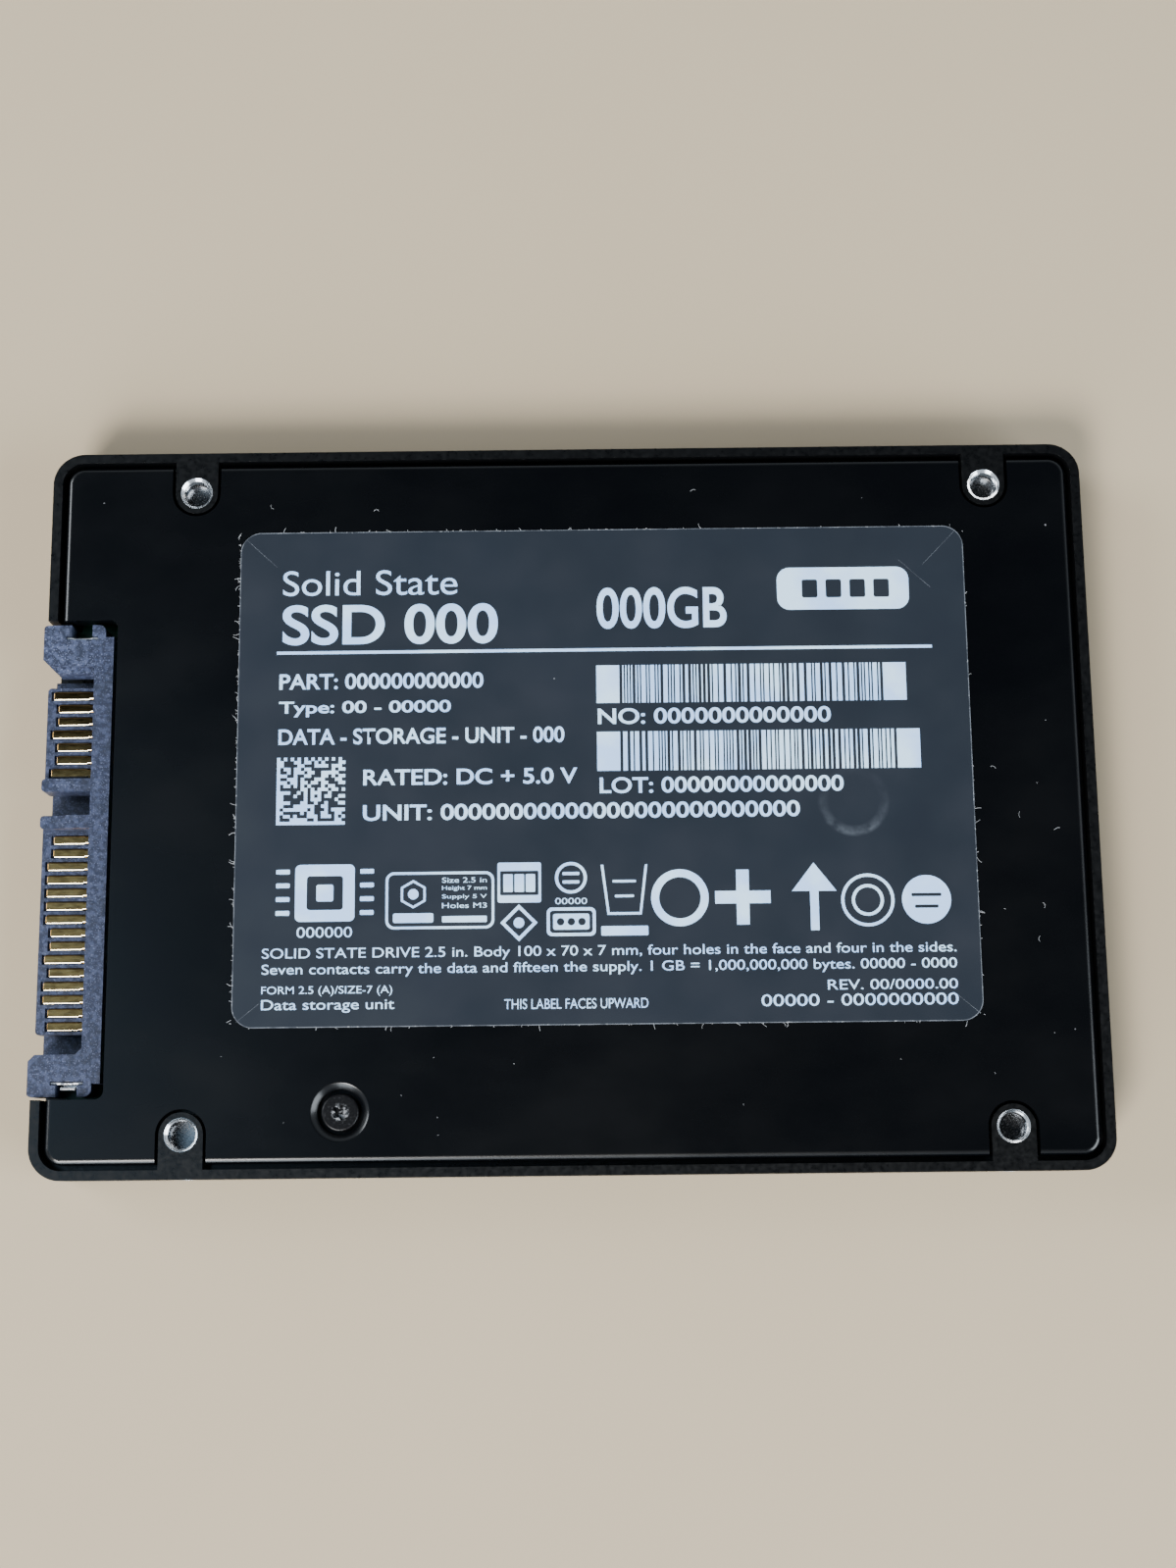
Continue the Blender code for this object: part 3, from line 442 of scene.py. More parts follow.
class Finish:
    """A node material that is built up by layers of texture."""

    def __init__(self, name, colour, roughness, metallic=0.0, specular=0.5):
        self.material = bpy.data.materials.new(name)
        self.material.use_nodes = True
        self.tree = self.material.node_tree
        self.shader = self.tree.nodes["Principled BSDF"]
        self.start = (*colour, 1)
        self.colour = self.normal = None
        self.feed(self.shader, {
            "Base Color": self.start, "Roughness": roughness,
            "Metallic": metallic, "Specular IOR Level": specular,
        })

    def feed(self, node, inputs):
        """Links a node's inputs to sockets, and sets those that get a plain value."""
        for name, value in inputs.items():
            if isinstance(value, bpy.types.NodeSocket):
                self.tree.links.new(value, node.inputs[name])
            else:
                node.inputs[name].default_value = value
        return node

    def node(self, kind, inputs):
        return self.feed(self.tree.nodes.new("ShaderNode" + kind), inputs)

    def place(self, stretch=(1, 1, 1)):
        coordinates = self.node("TexCoord", {}).outputs["Object"]
        return self.node("Mapping", {"Scale": stretch, "Vector": coordinates}).outputs["Vector"]

    def noise(self, size, detail=3.0, stretch=(1, 1, 1)):
        """Noise whose features are about that size in mm."""
        inputs = {"Scale": 1 / (size * MM), "Detail": detail, "Vector": self.place(stretch)}
        return self.node("TexNoise", inputs).outputs["Fac"]

    def specks(self, spacing):
        """Distance to scattered points about that far apart in mm, as a share of the spacing."""
        inputs = {"Scale": 1 / (spacing * MM), "Vector": self.place()}
        return self.node("TexVoronoi", inputs).outputs["Distance"]

    def distance(self, centre):
        node = self.node("VectorMath", {0: self.place(), 1: centre})
        node.operation = "DISTANCE"
        return node.outputs["Value"]

    def facing(self, axis):
        """How far the surface faces along an axis of the object, from -1 to 1."""
        normal = self.node("TexCoord", {}).outputs["Normal"]
        return self.node("SeparateXYZ", {"Vector": normal}).outputs[axis]

    def product(self, one, other):
        node = self.node("Math", {0: one, 1: other})
        node.operation = "MULTIPLY"
        return node.outputs["Value"]

    def ranged(self, value, start, end, low, high):
        ends = {"From Min": start, "From Max": end, "To Min": low, "To Max": high}
        return self.node("MapRange", {**ends, "Value": value}).outputs["Result"]

    def tint(self, factor, colour):
        """Lays a colour over what is there by a factor."""
        mix = self.tree.nodes.new("ShaderNodeMix")
        mix.data_type = "RGBA"
        under = {"A": self.colour} if self.colour else {6: self.start}
        self.feed(mix, {**under, 7: (*colour, 1), "Factor": factor})
        self.colour = mix.outputs[2]
        self.feed(self.shader, {"Base Color": self.colour})

    def mottle(self, grain, band, share, colour):
        """Tints by up to a share, where noise of that grain rises through the band."""
        self.tint(self.ranged(self.noise(*grain), *band, 0, share), colour)

    def rough(self, value):
        self.feed(self.shader, {"Roughness": value})

    def uneven(self, grain, low, high):
        """Roughness that wanders between two values with noise of that grain."""
        self.rough(self.ranged(self.noise(*grain), 0.3, 0.7, low, high))

    def bump(self, height, depth, strength=1.0):
        """Relief of about that depth in mm."""
        under = {"Normal": self.normal} if self.normal else {}
        inputs = {"Distance": depth * MM, "Strength": strength, "Height": height, **under}
        self.normal = self.node("Bump", inputs).outputs["Normal"]
        self.feed(self.shader, {"Normal": self.normal})


def powder_coat():
    """The case's grainy black coat, with a few pale specks."""
    coat = Finish("powder_coat", (0.0008, 0.001, 0.0013), 0.32, specular=0.6)
    grain = coat.noise(0.14, 4)
    coat.tint(coat.ranged(grain, 0.56, 0.74, 0, 0.5), (0.0035, 0.0038, 0.0045))
    coat.tint(coat.ranged(coat.specks(5.5), 0.014, 0.02, 0.6, 0), (0.12, 0.12, 0.12))
    coat.uneven((0.4, 4), 0.26, 0.38)
    coat.bump(grain, 0.006, 0.5)
    return coat.material


def satin_coat():
    """The cover's finer black coat, with faint smudges and a few specks of dust."""
    coat = Finish("satin_coat", (0.0005, 0.0008, 0.0014), 0.28, specular=0.45)
    coat.mottle((0.12, 3), (0.58, 0.75), 0.3, (0.004, 0.005, 0.007))
    coat.tint(coat.ranged(coat.specks(6.5), 0.012, 0.017, 0.7, 0), (0.2, 0.2, 0.22))
    coat.rough(coat.ranged(coat.noise(14, 4, (1, 1.6, 1)), 0.35, 0.7, 0.24, 0.31))
    coat.bump(coat.noise(0.12, 3), 0.003, 0.5)
    return coat.material


def label_film():
    """Slate film, a little mottled, with a pale half ring over the rear cover screw: a painted highlight
    on the -Y side of a faint raised ring.
    """
    film = Finish("label_film", (0.0115, 0.0155, 0.0225), 0.36, specular=0.5)
    film.mottle((9, 4), (0.35, 0.75), 0.4, (0.016, 0.021, 0.03))
    film.mottle((0.1, 2), (0.6, 0.75), 0.4, (0.018, 0.023, 0.032))
    # Painted highlight: a pale half ring round the rear cover screw, brightest on its -Y side, stands for
    # light caught by a faint raised ring in the label.
    ring = box_centre("cover_screw_rear").xy
    away = film.distance((*ring, label_high.z))
    inner = film.ranged(away, RING_HIGHLIGHT_RADIUS - RING_HIGHLIGHT_WIDTH, RING_HIGHLIGHT_RADIUS, 0, 0.9)
    outer = film.ranged(away, RING_HIGHLIGHT_RADIUS, RING_HIGHLIGHT_RADIUS + RING_HIGHLIGHT_WIDTH / 2, 1, 0)
    below = film.distance((ring.x, ring.y - RING_HIGHLIGHT_RADIUS, label_high.z))
    sheen_fade = film.ranged(below, RING_HIGHLIGHT_RADIUS / 2, 1.6 * RING_HIGHLIGHT_RADIUS, 1, 0.1)
    patchy = film.ranged(film.noise(0.9, 5), 0.35, 0.6, 0.1, 1)
    ring_highlight = film.product(film.product(inner, outer), film.product(sheen_fade, patchy))
    film.tint(ring_highlight, (0.06, 0.07, 0.085))
    film.tint(film.ranged(film.specks(8), 0.008, 0.012, 0.5, 0), (0.3, 0.32, 0.35))
    film.uneven((6, 5), 0.32, 0.42)
    film.bump(film.noise(0.16, 3), 0.004, 0.6)
    return film.material


def label_core():
    """The pale core of the film, which shows where it is cut."""
    core = Finish("label_core", (0.12, 0.135, 0.16), 0.6)
    core.mottle((1.2, 5), (0.42, 0.6), 0.9, (0.035, 0.042, 0.054))
    core.mottle((0.3, 3), (0.6, 0.7), 0.7, (0.4, 0.43, 0.47))
    core.bump(core.noise(0.08), 0.01)
    return core.material


def fibre():
    """Pale paper and textile dust."""
    pale = Finish("pale_fibre", (0.4, 0.41, 0.43), 0.8)
    pale.mottle((0.6, 4), (0.4, 0.65), 0.8, (0.14, 0.145, 0.15))
    return pale.material


def ink():
    """Pale blue-white print, a little uneven."""
    pale = Finish("label_ink", (0.4, 0.62, 0.98), 0.5)
    pale.mottle((6, 4), (0.45, 0.6), 0.7, (0.6, 0.83, 1.0))
    pale.mottle((0.07, 2), (0.64, 0.78), 0.3, (0.3, 0.42, 0.6))
    pale.uneven((0.3,), 0.42, 0.6)
    return pale.material


def nylon():
    """Blue-grey moulded plastic with paler flecks, most of them round the upper arm as a painted sheen.
    """
    plastic = Finish("moulded_nylon", (0.013, 0.018, 0.041), 0.42)
    # Painted sheen: the pale mottle and flecks are strongest round the upper arm, which catches the glow,
    # and fade away from it.
    arm = plastic.distance((housing_low.x + 1.5 * MM, ARM_UPPER + 2 * MM, housing_high.z))
    sheen_fade = plastic.ranged(arm, 2 * MM, 6 * MM, 1, 0.6)
    mottle = plastic.ranged(plastic.noise(0.55, 5), 0.46, 0.6, 0, 0.85)
    plastic.tint(plastic.product(mottle, sheen_fade), (0.06, 0.076, 0.145))
    flecks = plastic.ranged(plastic.noise(0.14, 3), 0.58, 0.66, 0, 0.8)
    plastic.tint(plastic.product(flecks, sheen_fade), (0.17, 0.2, 0.32))
    plastic.mottle((1.8, 4), (0.5, 0.72), 0.6, (0.01, 0.015, 0.028))
    plastic.uneven((0.25, 4), 0.36, 0.6)
    plastic.bump(plastic.noise(0.12, 4), 0.012, 0.8)
    return plastic.material


def gold():
    """Gold plate, drawn lengthwise: brown in patches on top, with a painted highlight on the side towards
    -Y.
    """
    plated = Finish("gold_plate", (0.34, 0.2, 0.07), 0.14, 1.0)
    plated.mottle((0.5, 5, (0.5, 1, 1)), (0.42, 0.62), 0.75, (0.16, 0.09, 0.03))
    plated.mottle((0.06, 3, (0.06, 1, 1)), (0.55, 0.7), 0.4, (0.62, 0.46, 0.22))
    # Painted highlight: faces turned towards -Y are tinted pale, as the contacts' edges catch the light
    # from that side.
    plated.tint(plated.ranged(plated.facing("Y"), -0.6, -0.25, 1, 0), (0.97, 0.88, 0.66))
    plated.uneven((0.08, 3, (0.08, 1, 1)), 0.1, 0.18)
    plated.bump(plated.noise(0.05, 3, (0.05, 1, 1)), 0.0005, 0.3)
    return plated.material


def bare_metal(name, colour, rough, grain=(1, 1, 1)):
    """Uncoated metal with fine tool marks."""
    metal = Finish(name, colour, rough, 1.0)
    dull = tuple(0.55 * c for c in colour)
    metal.mottle((0.35, 4, grain), (0.45, 0.7), 0.6, dull)
    metal.uneven((0.12, 4, grain), rough * 0.6, rough * 1.5)
    metal.bump(metal.noise(0.07, 3, grain), 0.004, 0.6)
    return metal.material


def black_steel():
    """Blackened screws, bright in the exposed screw's recess: metal rubbed bare by the driver, and
    painted glints.
    """
    steel = Finish("black_steel", (0.004, 0.004, 0.005), 0.34, 0.5)
    steel.mottle((0.22, 5), (0.6, 0.72), 0.6, (0.06, 0.06, 0.065))
    # Bright patches in the recess: partly rubbed metal, partly painted glints.
    low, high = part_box("cover_screw_exposed")
    away = steel.distance((*((low + high) / 2).xy, high.z))
    patches = steel.ranged(steel.noise(0.3, 4), 0.48, 0.6, 0, 1)
    near = steel.ranged(away, RUB_AND_GLINT_RADIUS, 1.5 * RUB_AND_GLINT_RADIUS, 1, 0)
    steel.tint(steel.product(near, patches), (0.4, 0.41, 0.43))
    steel.uneven((0.1, 3), 0.25, 0.5)
    steel.bump(steel.noise(0.08, 3), 0.006)
    return steel.material


def moulded(name, colour, grain=0.15, contrast=0.5, rough=0.6):
    """A grainy inner material: resin, ferrite, laminate or soft filler."""
    body = Finish(name, colour, rough)
    pale = tuple(min(1.0, c * 1.6 + 0.01) for c in colour)
    body.mottle((grain, 4), (0.5, 0.75), contrast, pale)
    body.mottle((3, 3), (0.45, 0.75), 0.3, tuple(0.6 * c for c in colour))
    body.uneven((grain * 2, 3), rough * 0.8, min(1, rough * 1.2))
    body.bump(body.noise(grain, 3), 0.01, 0.5)
    return body.material


# Shell pieces


def box_centre(node):
    low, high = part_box(node)
    return (low + high) / 2


def hole_places():
    """Centres of the four mounting holes in the label side."""
    return [
        Vector((x, side * (HALF_WIDTH - SIDE_HOLE_INSET), 0))
        for x in (X_FRONT + FRONT_HOLE_INSET, X_BACK - BACK_HOLE_INSET)
        for side in (-1, 1)
    ]


def up_hole_matrices():
    return [Matrix.Translation(at + Vector((0, 0, RIM_HEIGHT))) for at in hole_places()]


def side_hole_matrices():
    made = []
    for at in hole_places():
        way = math.copysign(1, at.y)
        place = Matrix.Translation((at.x, way * HALF_WIDTH, label_high.z - SIDE_HOLE_DROP))
        made.append(place @ Matrix.Rotation(-way * math.pi / 2, 4, "X"))
    return made


def screw_matrices():
    return [Matrix.Translation((*box_centre(name).xy, 0)) for name in SCREWS]


def bitten_edge(side, edge, radius):
    """One long edge of an outline, with a U-shaped bite round each boss."""
    points = []
    bosses = [at for at in hole_places() if at.y * side > 0]
    for at in sorted(bosses, key=lambda at: -side * at.x):
        first, last = (180, 0) if side < 0 else (0, -180)
        turn = arc(at.x, at.y, radius, first, last, 2 * ARC_STEPS)
        points += [(turn[0][0], edge), *turn, (turn[-1][0], edge)]
    return points


def shell_outline(inset, boss_radius, front=()):
    """The case's outline taken in by inset, going round the bosses at boss_radius."""
    x0, x1, half = X_FRONT + inset, X_BACK - inset, HALF_WIDTH - inset
    r = CASE_CORNER_RADIUS - inset
    return [
        *arc(x0 + r, -half + r, r, 180, 270),
        *bitten_edge(-1, -half, boss_radius),
        *arc(x1 - r, -half + r, r, 270, 360),
        *arc(x1 - r, half - r, r, 0, 90),
        *bitten_edge(1, half, boss_radius),
        *arc(x0 + r, half - r, r, 90, 180),
        *front,
    ]


def cover_outline(grow):
    """The cover's outline, taken in by grow everywhere, with its notch for the connector."""
    inset = COVER_INSET + grow
    r = NOTCH_CORNER_RADIUS
    deep = X_FRONT + NOTCH_DEPTH + grow
    upper = housing_high.y + HOUSING_CLEARANCE + grow
    lower = housing_low.y - HOUSING_CLEARANCE - grow
    notch = [
        (X_FRONT + inset, upper),
        *arc(deep - r, upper - r, r, 90, 0),
        *arc(deep - r, lower + r, r, 0, -90),
        (X_FRONT + inset, lower),
    ]
    return shell_outline(inset, BOSS_RADIUS + BOSS_GROOVE + grow, notch)


def hole_cutter(depth):
    """A cutter for a threaded hole whose mouth is at height 0."""
    mouth = THREAD_RADIUS + HOLE_CHAMFER
    return turned([
        (0, OVERCUT), (mouth + OVERCUT, OVERCUT), (THREAD_RADIUS, -HOLE_CHAMFER),
        (THREAD_RADIUS, -depth), (0, -depth - THREAD_RADIUS / 4),
    ])


def thread_lining():
    """The cut thread in a hole whose mouth is at height 0, and its bare chamfer."""
    crest, half = THREAD_RADIUS - THREAD_DEPTH, THREAD_PITCH / 2
    turns = int(HOLE_BOTTOM / THREAD_PITCH)
    ridge = [(THREAD_RADIUS, 0), (crest, -half), (THREAD_RADIUS, -2 * half)]
    helix = turned(ridge, THREAD_STEPS, THREAD_PITCH, turns)
    moved(helix, Matrix.Translation((0, 0, -HOLE_CHAMFER)))
    mouth = THREAD_RADIUS + HOLE_CHAMFER
    lip = turned([
        (mouth + 0.01 * MM, 0.004 * MM), (mouth - 0.02 * MM, 0.004 * MM),
        (THREAD_RADIUS + 0.05 * MM, -HOLE_CHAMFER / 2), (THREAD_RADIUS, -HOLE_CHAMFER),
        (crest, -HOLE_CHAMFER - half / 2),
    ])
    return joined([helix, lip])


def hole_floor():
    """A darker metal bottom part way down a hole: painted shade of the hole's depth."""
    crest = THREAD_RADIUS - THREAD_DEPTH
    return turned([
        (THREAD_RADIUS, -HOLE_BOTTOM), (crest, -HOLE_BOTTOM - THREAD_DEPTH),
        (0, -HOLE_BOTTOM - 2 * THREAD_DEPTH),
    ])


def make_case(coat, metal, dull):
    """The shell with its ledge, connector mouth, screw pillars and eight threaded holes."""
    outline = rounded_rectangle(X_FRONT, X_BACK, -HALF_WIDTH, HALF_WIDTH, CASE_CORNER_RADIUS)
    body = plate(outline, 0, RIM_HEIGHT + OVERCUT, CASE_EDGE_RADIUS)
    top = RIM_HEIGHT + 2 * OVERCUT
    above = block(X_FRONT - OVERCUT, X_BACK + OVERCUT, -2 * HALF_WIDTH, 2 * HALF_WIDTH, RIM_HEIGHT, top)
    ledge_top = cover_low.z - SOFT_EDGE
    upper = plate(shell_outline(RIM, BOSS_RADIUS), ledge_top, top)
    lower = plate(shell_outline(RIM + LEDGE, BOSS_RADIUS + LEDGE), FLOOR, ledge_top + OVERCUT / 2)
    mouth = block(
        X_FRONT - OVERCUT, BAR_BACK + HOUSING_CLEARANCE,
        housing_low.y - HOUSING_CLEARANCE, housing_high.y + HOUSING_CLEARANCE, SILL, top,
    )
    body = cut(body, above, upper, lower, mouth)
    pillar_top = POCKET_FLOOR - COVER_SHEET - SOFT_EDGE
    pillar = cylinder(PILLAR_RADIUS, FLOOR / 2, pillar_top)
    body = fused(body, copies(pillar, screw_matrices()))
    bore = cylinder(SHANK_RADIUS + SOFT_EDGE, FLOOR + SOFT_EDGE, top)
    body = softened(cut(body, copies(bore, screw_matrices())), RIM_EDGE_RADIUS, 3)
    up, side = up_hole_matrices(), side_hole_matrices()
    upright = copies(hole_cutter(TAPPING_DEPTH), up)
    body = cut(body, upright, copies(hole_cutter(SIDE_TAPPING_DEPTH), side))
    piece(body, "case_shell", coat, "painted_shell", ["case"])
    piece(copies(thread_lining(), up + side), "hole_threads", metal)
    piece(copies(hole_floor(), up + side), "hole_bottoms", dull)


def make_cover(coat):
    """The pressed tray that is let into the case, with three dished screw pockets."""
    low = cover_low.z
    x0, x1, half = cover_low.x, cover_high.x, cover_high.y
    pressed = rounded_rectangle(x0, x1, -half, half, CASE_CORNER_RADIUS - COVER_INSET)
    tray = plate(pressed, low - COVER_EDGE_RADIUS, COVER_TOP, COVER_EDGE_RADIUS, edge_steps=5)
    stamp = plate(cover_outline(0), low - 2 * OVERCUT, COVER_TOP + OVERCUT)
    tray = boolean(tray, "INTERSECT", stamp)
    hollow = plate(cover_outline(COVER_SHEET), low - OVERCUT, COVER_TOP - COVER_SHEET)
    trim = block(X_FRONT, X_BACK, -HALF_WIDTH, HALF_WIDTH, low - 2 * OVERCUT, low)
    tray = cut(tray, hollow, trim)
    cup_top, cup_low = COVER_TOP - COVER_SHEET / 2, POCKET_FLOOR - COVER_SHEET
    cup = cylinder(POCKET_MOUTH_RADIUS, cup_low, cup_top)
    tray = fused(tray, copies(cup, screw_matrices()))
    lip = [
        (POCKET_MOUTH_RADIUS - t / 10 * POCKET_LIP, COVER_TOP - POCKET_BEVEL * (t / 10) ** LIP_CURVE)
        for t in range(11)
    ]
    bore = turned([
        (0, COVER_TOP + OVERCUT), (POCKET_MOUTH_RADIUS, COVER_TOP + OVERCUT), *lip,
        (POCKET_SEAT_RADIUS, POCKET_FLOOR), (SHANK_HOLE_RADIUS, POCKET_FLOOR),
        (SHANK_HOLE_RADIUS, cup_low - OVERCUT), (0, cup_low - OVERCUT),
    ])
    tray = cut(tray, copies(bore, screw_matrices()))
    piece(softened(tray, CUT_EDGE), "cover_plate", coat, "painted_shell", ["cover"])


def make_screws(steel):
    """The cover screws, with a five-lobed recess and a rounded head."""
    for name in SCREWS:
        low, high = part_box(name)
        centre, radius = (low + high) / 2, (high.x - low.x) / 2
        seat = high.z - HEAD_HEIGHT
        rounding = [
            (radius - HEAD_EDGE + x, high.z - HEAD_EDGE + y)
            for x, y in arc(0, 0, HEAD_EDGE, 90, 0, 6)
        ]
        screw = turned([
            (0, high.z), *rounding, (radius, seat), (SHANK_RADIUS, seat),
            (SHANK_RADIUS, low.z + SHANK_RADIUS / 2), (SHANK_RADIUS / 2, low.z), (0, low.z),
        ])
        moved(screw, Matrix.Translation((*centre.xy, 0)))
        lobes, outline = 5, []
        for i in range(12 * lobes):
            angle = 2 * math.pi * i / (12 * lobes)
            reach = DRIVE_RADIUS + DRIVE_LOBE * math.cos(lobes * angle)
            outline.append((centre.x + reach * math.cos(angle), centre.y + reach * math.sin(angle)))
        recess = plate(outline, high.z - DRIVE_DEPTH, high.z + OVERCUT)
        screw = softened(cut(screw, recess), SOFT_EDGE / 2)
        piece(screw, name + "_detail", steel, "black_screw", [name])


# Connector pieces


def frame_outline():
    """Plan of the housing's guide arms and back bar."""
    front, lower_end, upper_end = housing_low.x, housing_low.y, housing_high.y
    ear, ear_radius = BAR_BACK - EAR_SHORTFALL, EAR_SHORTFALL * 0.8
    chamfer, lower, nose = ARM_CHAMFER, LOWER_ARM_CHAMFER, NOSE_RADIUS
    return [
        *arc(front + nose, lower_end + nose, nose, 180, 270),
        *arc(ear - ear_radius, lower_end + ear_radius, ear_radius, 270, 360),
        (ear, lower_end + BAR_STEP), (BAR_BACK, lower_end + BAR_STEP),
        (BAR_BACK, upper_end - BAR_STEP), (ear, upper_end - BAR_STEP),
        *arc(ear - ear_radius, upper_end - ear_radius, ear_radius, 0, 90),
        *arc(front + nose, upper_end - nose, nose, 90, 180),
        (front, ARM_UPPER + chamfer), (front + chamfer, ARM_UPPER), (BAR_FRONT, ARM_UPPER),
        (BAR_FRONT, ARM_LOWER + lower), (BAR_FRONT - lower, ARM_LOWER),
        (front + lower, ARM_LOWER), (front, ARM_LOWER - lower),
    ]


def nosed(y0, y1, low, high):
    """A slab between two Y values that runs from the bar to its rounded front end."""
    x0, x1 = X_FRONT - TONGUE_PROUD, (BAR_FRONT + BAR_BACK) / 2
    y0, y1 = sorted((y0, y1))
    outline = [
        *arc(x0 + NOSE_RADIUS, y0 + NOSE_RADIUS, NOSE_RADIUS, 180, 270),
        (x1, y0),
        (x1, y1),
        *arc(x0 + NOSE_RADIUS, y1 - NOSE_RADIUS, NOSE_RADIUS, 90, 180),
    ]
    return plate(outline, low, high)


def blade_slots():
    """Cutters for the two hold-downs' slots and for the windows beside them."""
    made = []
    for name, way in (("hold_down_upper", 1), ("hold_down_lower", -1)):
        low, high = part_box(name)
        gap = CONTACT_CLEARANCE
        made.append(block(
            low.x - gap, high.x + gap, low.y - gap, high.y + gap,
            housing_low.z, housing_high.z + OVERCUT,
        ))
        middle = (low.x + high.x) / 2
        end = housing_high.y + OVERCUT if way > 0 else housing_low.y - OVERCUT
        y0, y1 = sorted(((low.y + high.y) / 2, end))
        made.append(block(
            middle - BLADE_WINDOW / 2, middle + BLADE_WINDOW / 2, y0, y1,
            housing_low.z, housing_high.z + OVERCUT / 2,
        ))
    return made


def make_housing(plastic):
    """The plug's moulding, with its edges softened."""
    shelf_under, middle = housing_low.z, (BAR_FRONT + BAR_BACK) / 2
    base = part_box("circuit_board")[1].z + SOFT_EDGE
    body = plate(frame_outline(), base, housing_high.z)
    leg = block(
        BAR_FRONT, BAR_BACK, ARM_LOWER - HOUSING_CLEARANCE, ARM_UPPER + HOUSING_CLEARANCE,
        shelf_under, (base + housing_high.z) / 2,
    )
    shelf = block(X_FRONT - SHELF_PROUD, middle, ARM_LOWER, ARM_UPPER, shelf_under, SHELF_TOP)
    body = fused(body, leg, shelf)
    key_top = CONTACT_FACE + KEY_HEIGHT
    signal_end = max(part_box(name)[1].y for name in SIGNALS) + TONGUE_END_WALL
    signal_key = min(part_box(name)[0].y for name in SIGNALS) - TONGUE_END_WALL - KEY_THICKNESS
    power_end = min(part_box(name)[0].y for name in POWERS) - TONGUE_END_WALL
    power_key = signal_key - KEY_GAP
    for end, key, inner in (
        (signal_end, signal_key, signal_key + KEY_THICKNESS),
        (power_end, power_key, power_key - KEY_THICKNESS),
    ):
        tongue = nosed(end, key, TONGUE_UNDER, CONTACT_FACE)
        body = fused(body, tongue, nosed(key, inner, (TONGUE_UNDER + CONTACT_FACE) / 2, key_top))
    step = block(
        BAR_FRONT - KEY_STEP_LENGTH, middle, power_key - KEY_THICKNESS, power_key,
        key_top - KEY_STEP, key_top + KEY_STEP,
    )
    body = fused(body, step)
    lowered = rounded_rectangle(
        housing_low.x + ARM_CHAMFER / 2, BAR_FRONT,
        ARM_UPPER - OVERCUT, ARM_UPPER + ARM_STEP_WIDTH, ARM_STEP_WIDTH / 2,
    )
    lowered = plate(lowered, housing_high.z - ARM_STEP_DROP, housing_high.z + OVERCUT)
    body = softened(cut(body, lowered), HOUSING_EDGE)
    gap = CONTACT_CLEARANCE
    channels = []
    for name in SIGNALS + POWERS:
        low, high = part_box(name)
        channels.append(block(
            low.x - TIP_GAP, BAR_BACK + OVERCUT, low.y - gap, high.y + gap,
            high.z - CONTACT_THICKNESS - gap, high.z + gap,
        ))
    body = cut(body, joined(channels))
    body = cut(body, *blade_slots())
    piece(body, "plug_housing", plastic, "housing_plastic", ["connector_housing"])


def make_contacts(plating):
    """22 blades with rolled edges, narrower from just before the bar to their bent tails."""
    for name in SIGNALS + POWERS:
        low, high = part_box(name)
        under = high.z - CONTACT_THICKNESS
        bend = BAR_BACK + 2 * CONTACT_CLEARANCE
        neck = BAR_FRONT - CONTACT_NECK
        drop, nose = under - low.z, CONTACT_THICKNESS / 2
        outline = [
            (low.x, under), (low.x + nose, under), (neck - nose, under), (neck, under),
            (bend, under), (bend + drop, low.z), (high.x, low.z),
            (high.x, low.z + CONTACT_THICKNESS), (bend + drop + nose, low.z + CONTACT_THICKNESS),
            (bend + nose, high.z), (neck, high.z), (neck - nose, high.z),
            *arc(low.x + nose, high.z - nose, nose, 90, 180, 5),
        ]
        blade = plate(outline, low.y, high.y, CONTACT_EDGE, across=True, edge_steps=4)
        middle = (low.y + high.y) / 2
        for vert in blade.data.vertices:
            x = vert.co.x
            share = 1.0
            if x > neck - nose / 2:
                share = CONTACT_NECK_SHARE
            elif x < low.x + nose:
                share = 1 - CONTACT_TIP_TAPER * (low.x + nose - x) / nose
            vert.co.y = middle + (vert.co.y - middle) * share
        piece(blade, name + "_blade", plating, "contact_gold", [name])


def make_hold_downs(tin):
    """The two sheet-metal blades with their feet. A lip is folded out of the lower one."""
    board_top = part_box("circuit_board")[1].z
    for name, gap, nick in (
        ("hold_down_upper", BLADE_LEG, BLADE_NICK), ("hold_down_lower", BLADE_GAP, 2 * BLADE_NICK),
    ):
        low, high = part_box(name)
        middle = (low + high) / 2
        shoulder = board_top + 2 * CONTACT_CLEARANCE
        left, right = middle.x - BLADE_LEG / 2, middle.x + BLADE_LEG / 2
        outline = [
            (low.x, high.z), (low.x, shoulder), (left, shoulder), (left, low.z),
            (right, low.z), (right, shoulder), (high.x, shoulder), (high.x, high.z),
            (middle.x + gap / 2, high.z), (middle.x + gap / 2 - BLADE_NICK, high.z - nick),
            (middle.x - gap / 2 + BLADE_NICK, high.z - nick), (middle.x - gap / 2, high.z),
        ]
        blade = plate(outline, low.y, high.y, BLADE_EDGE, across=True)
        if middle.y < 0:
            blade = joined([blade, hold_down_lip(middle, high)])
        piece(blade, name + "_blade", tin, "tinned_metal", [name])


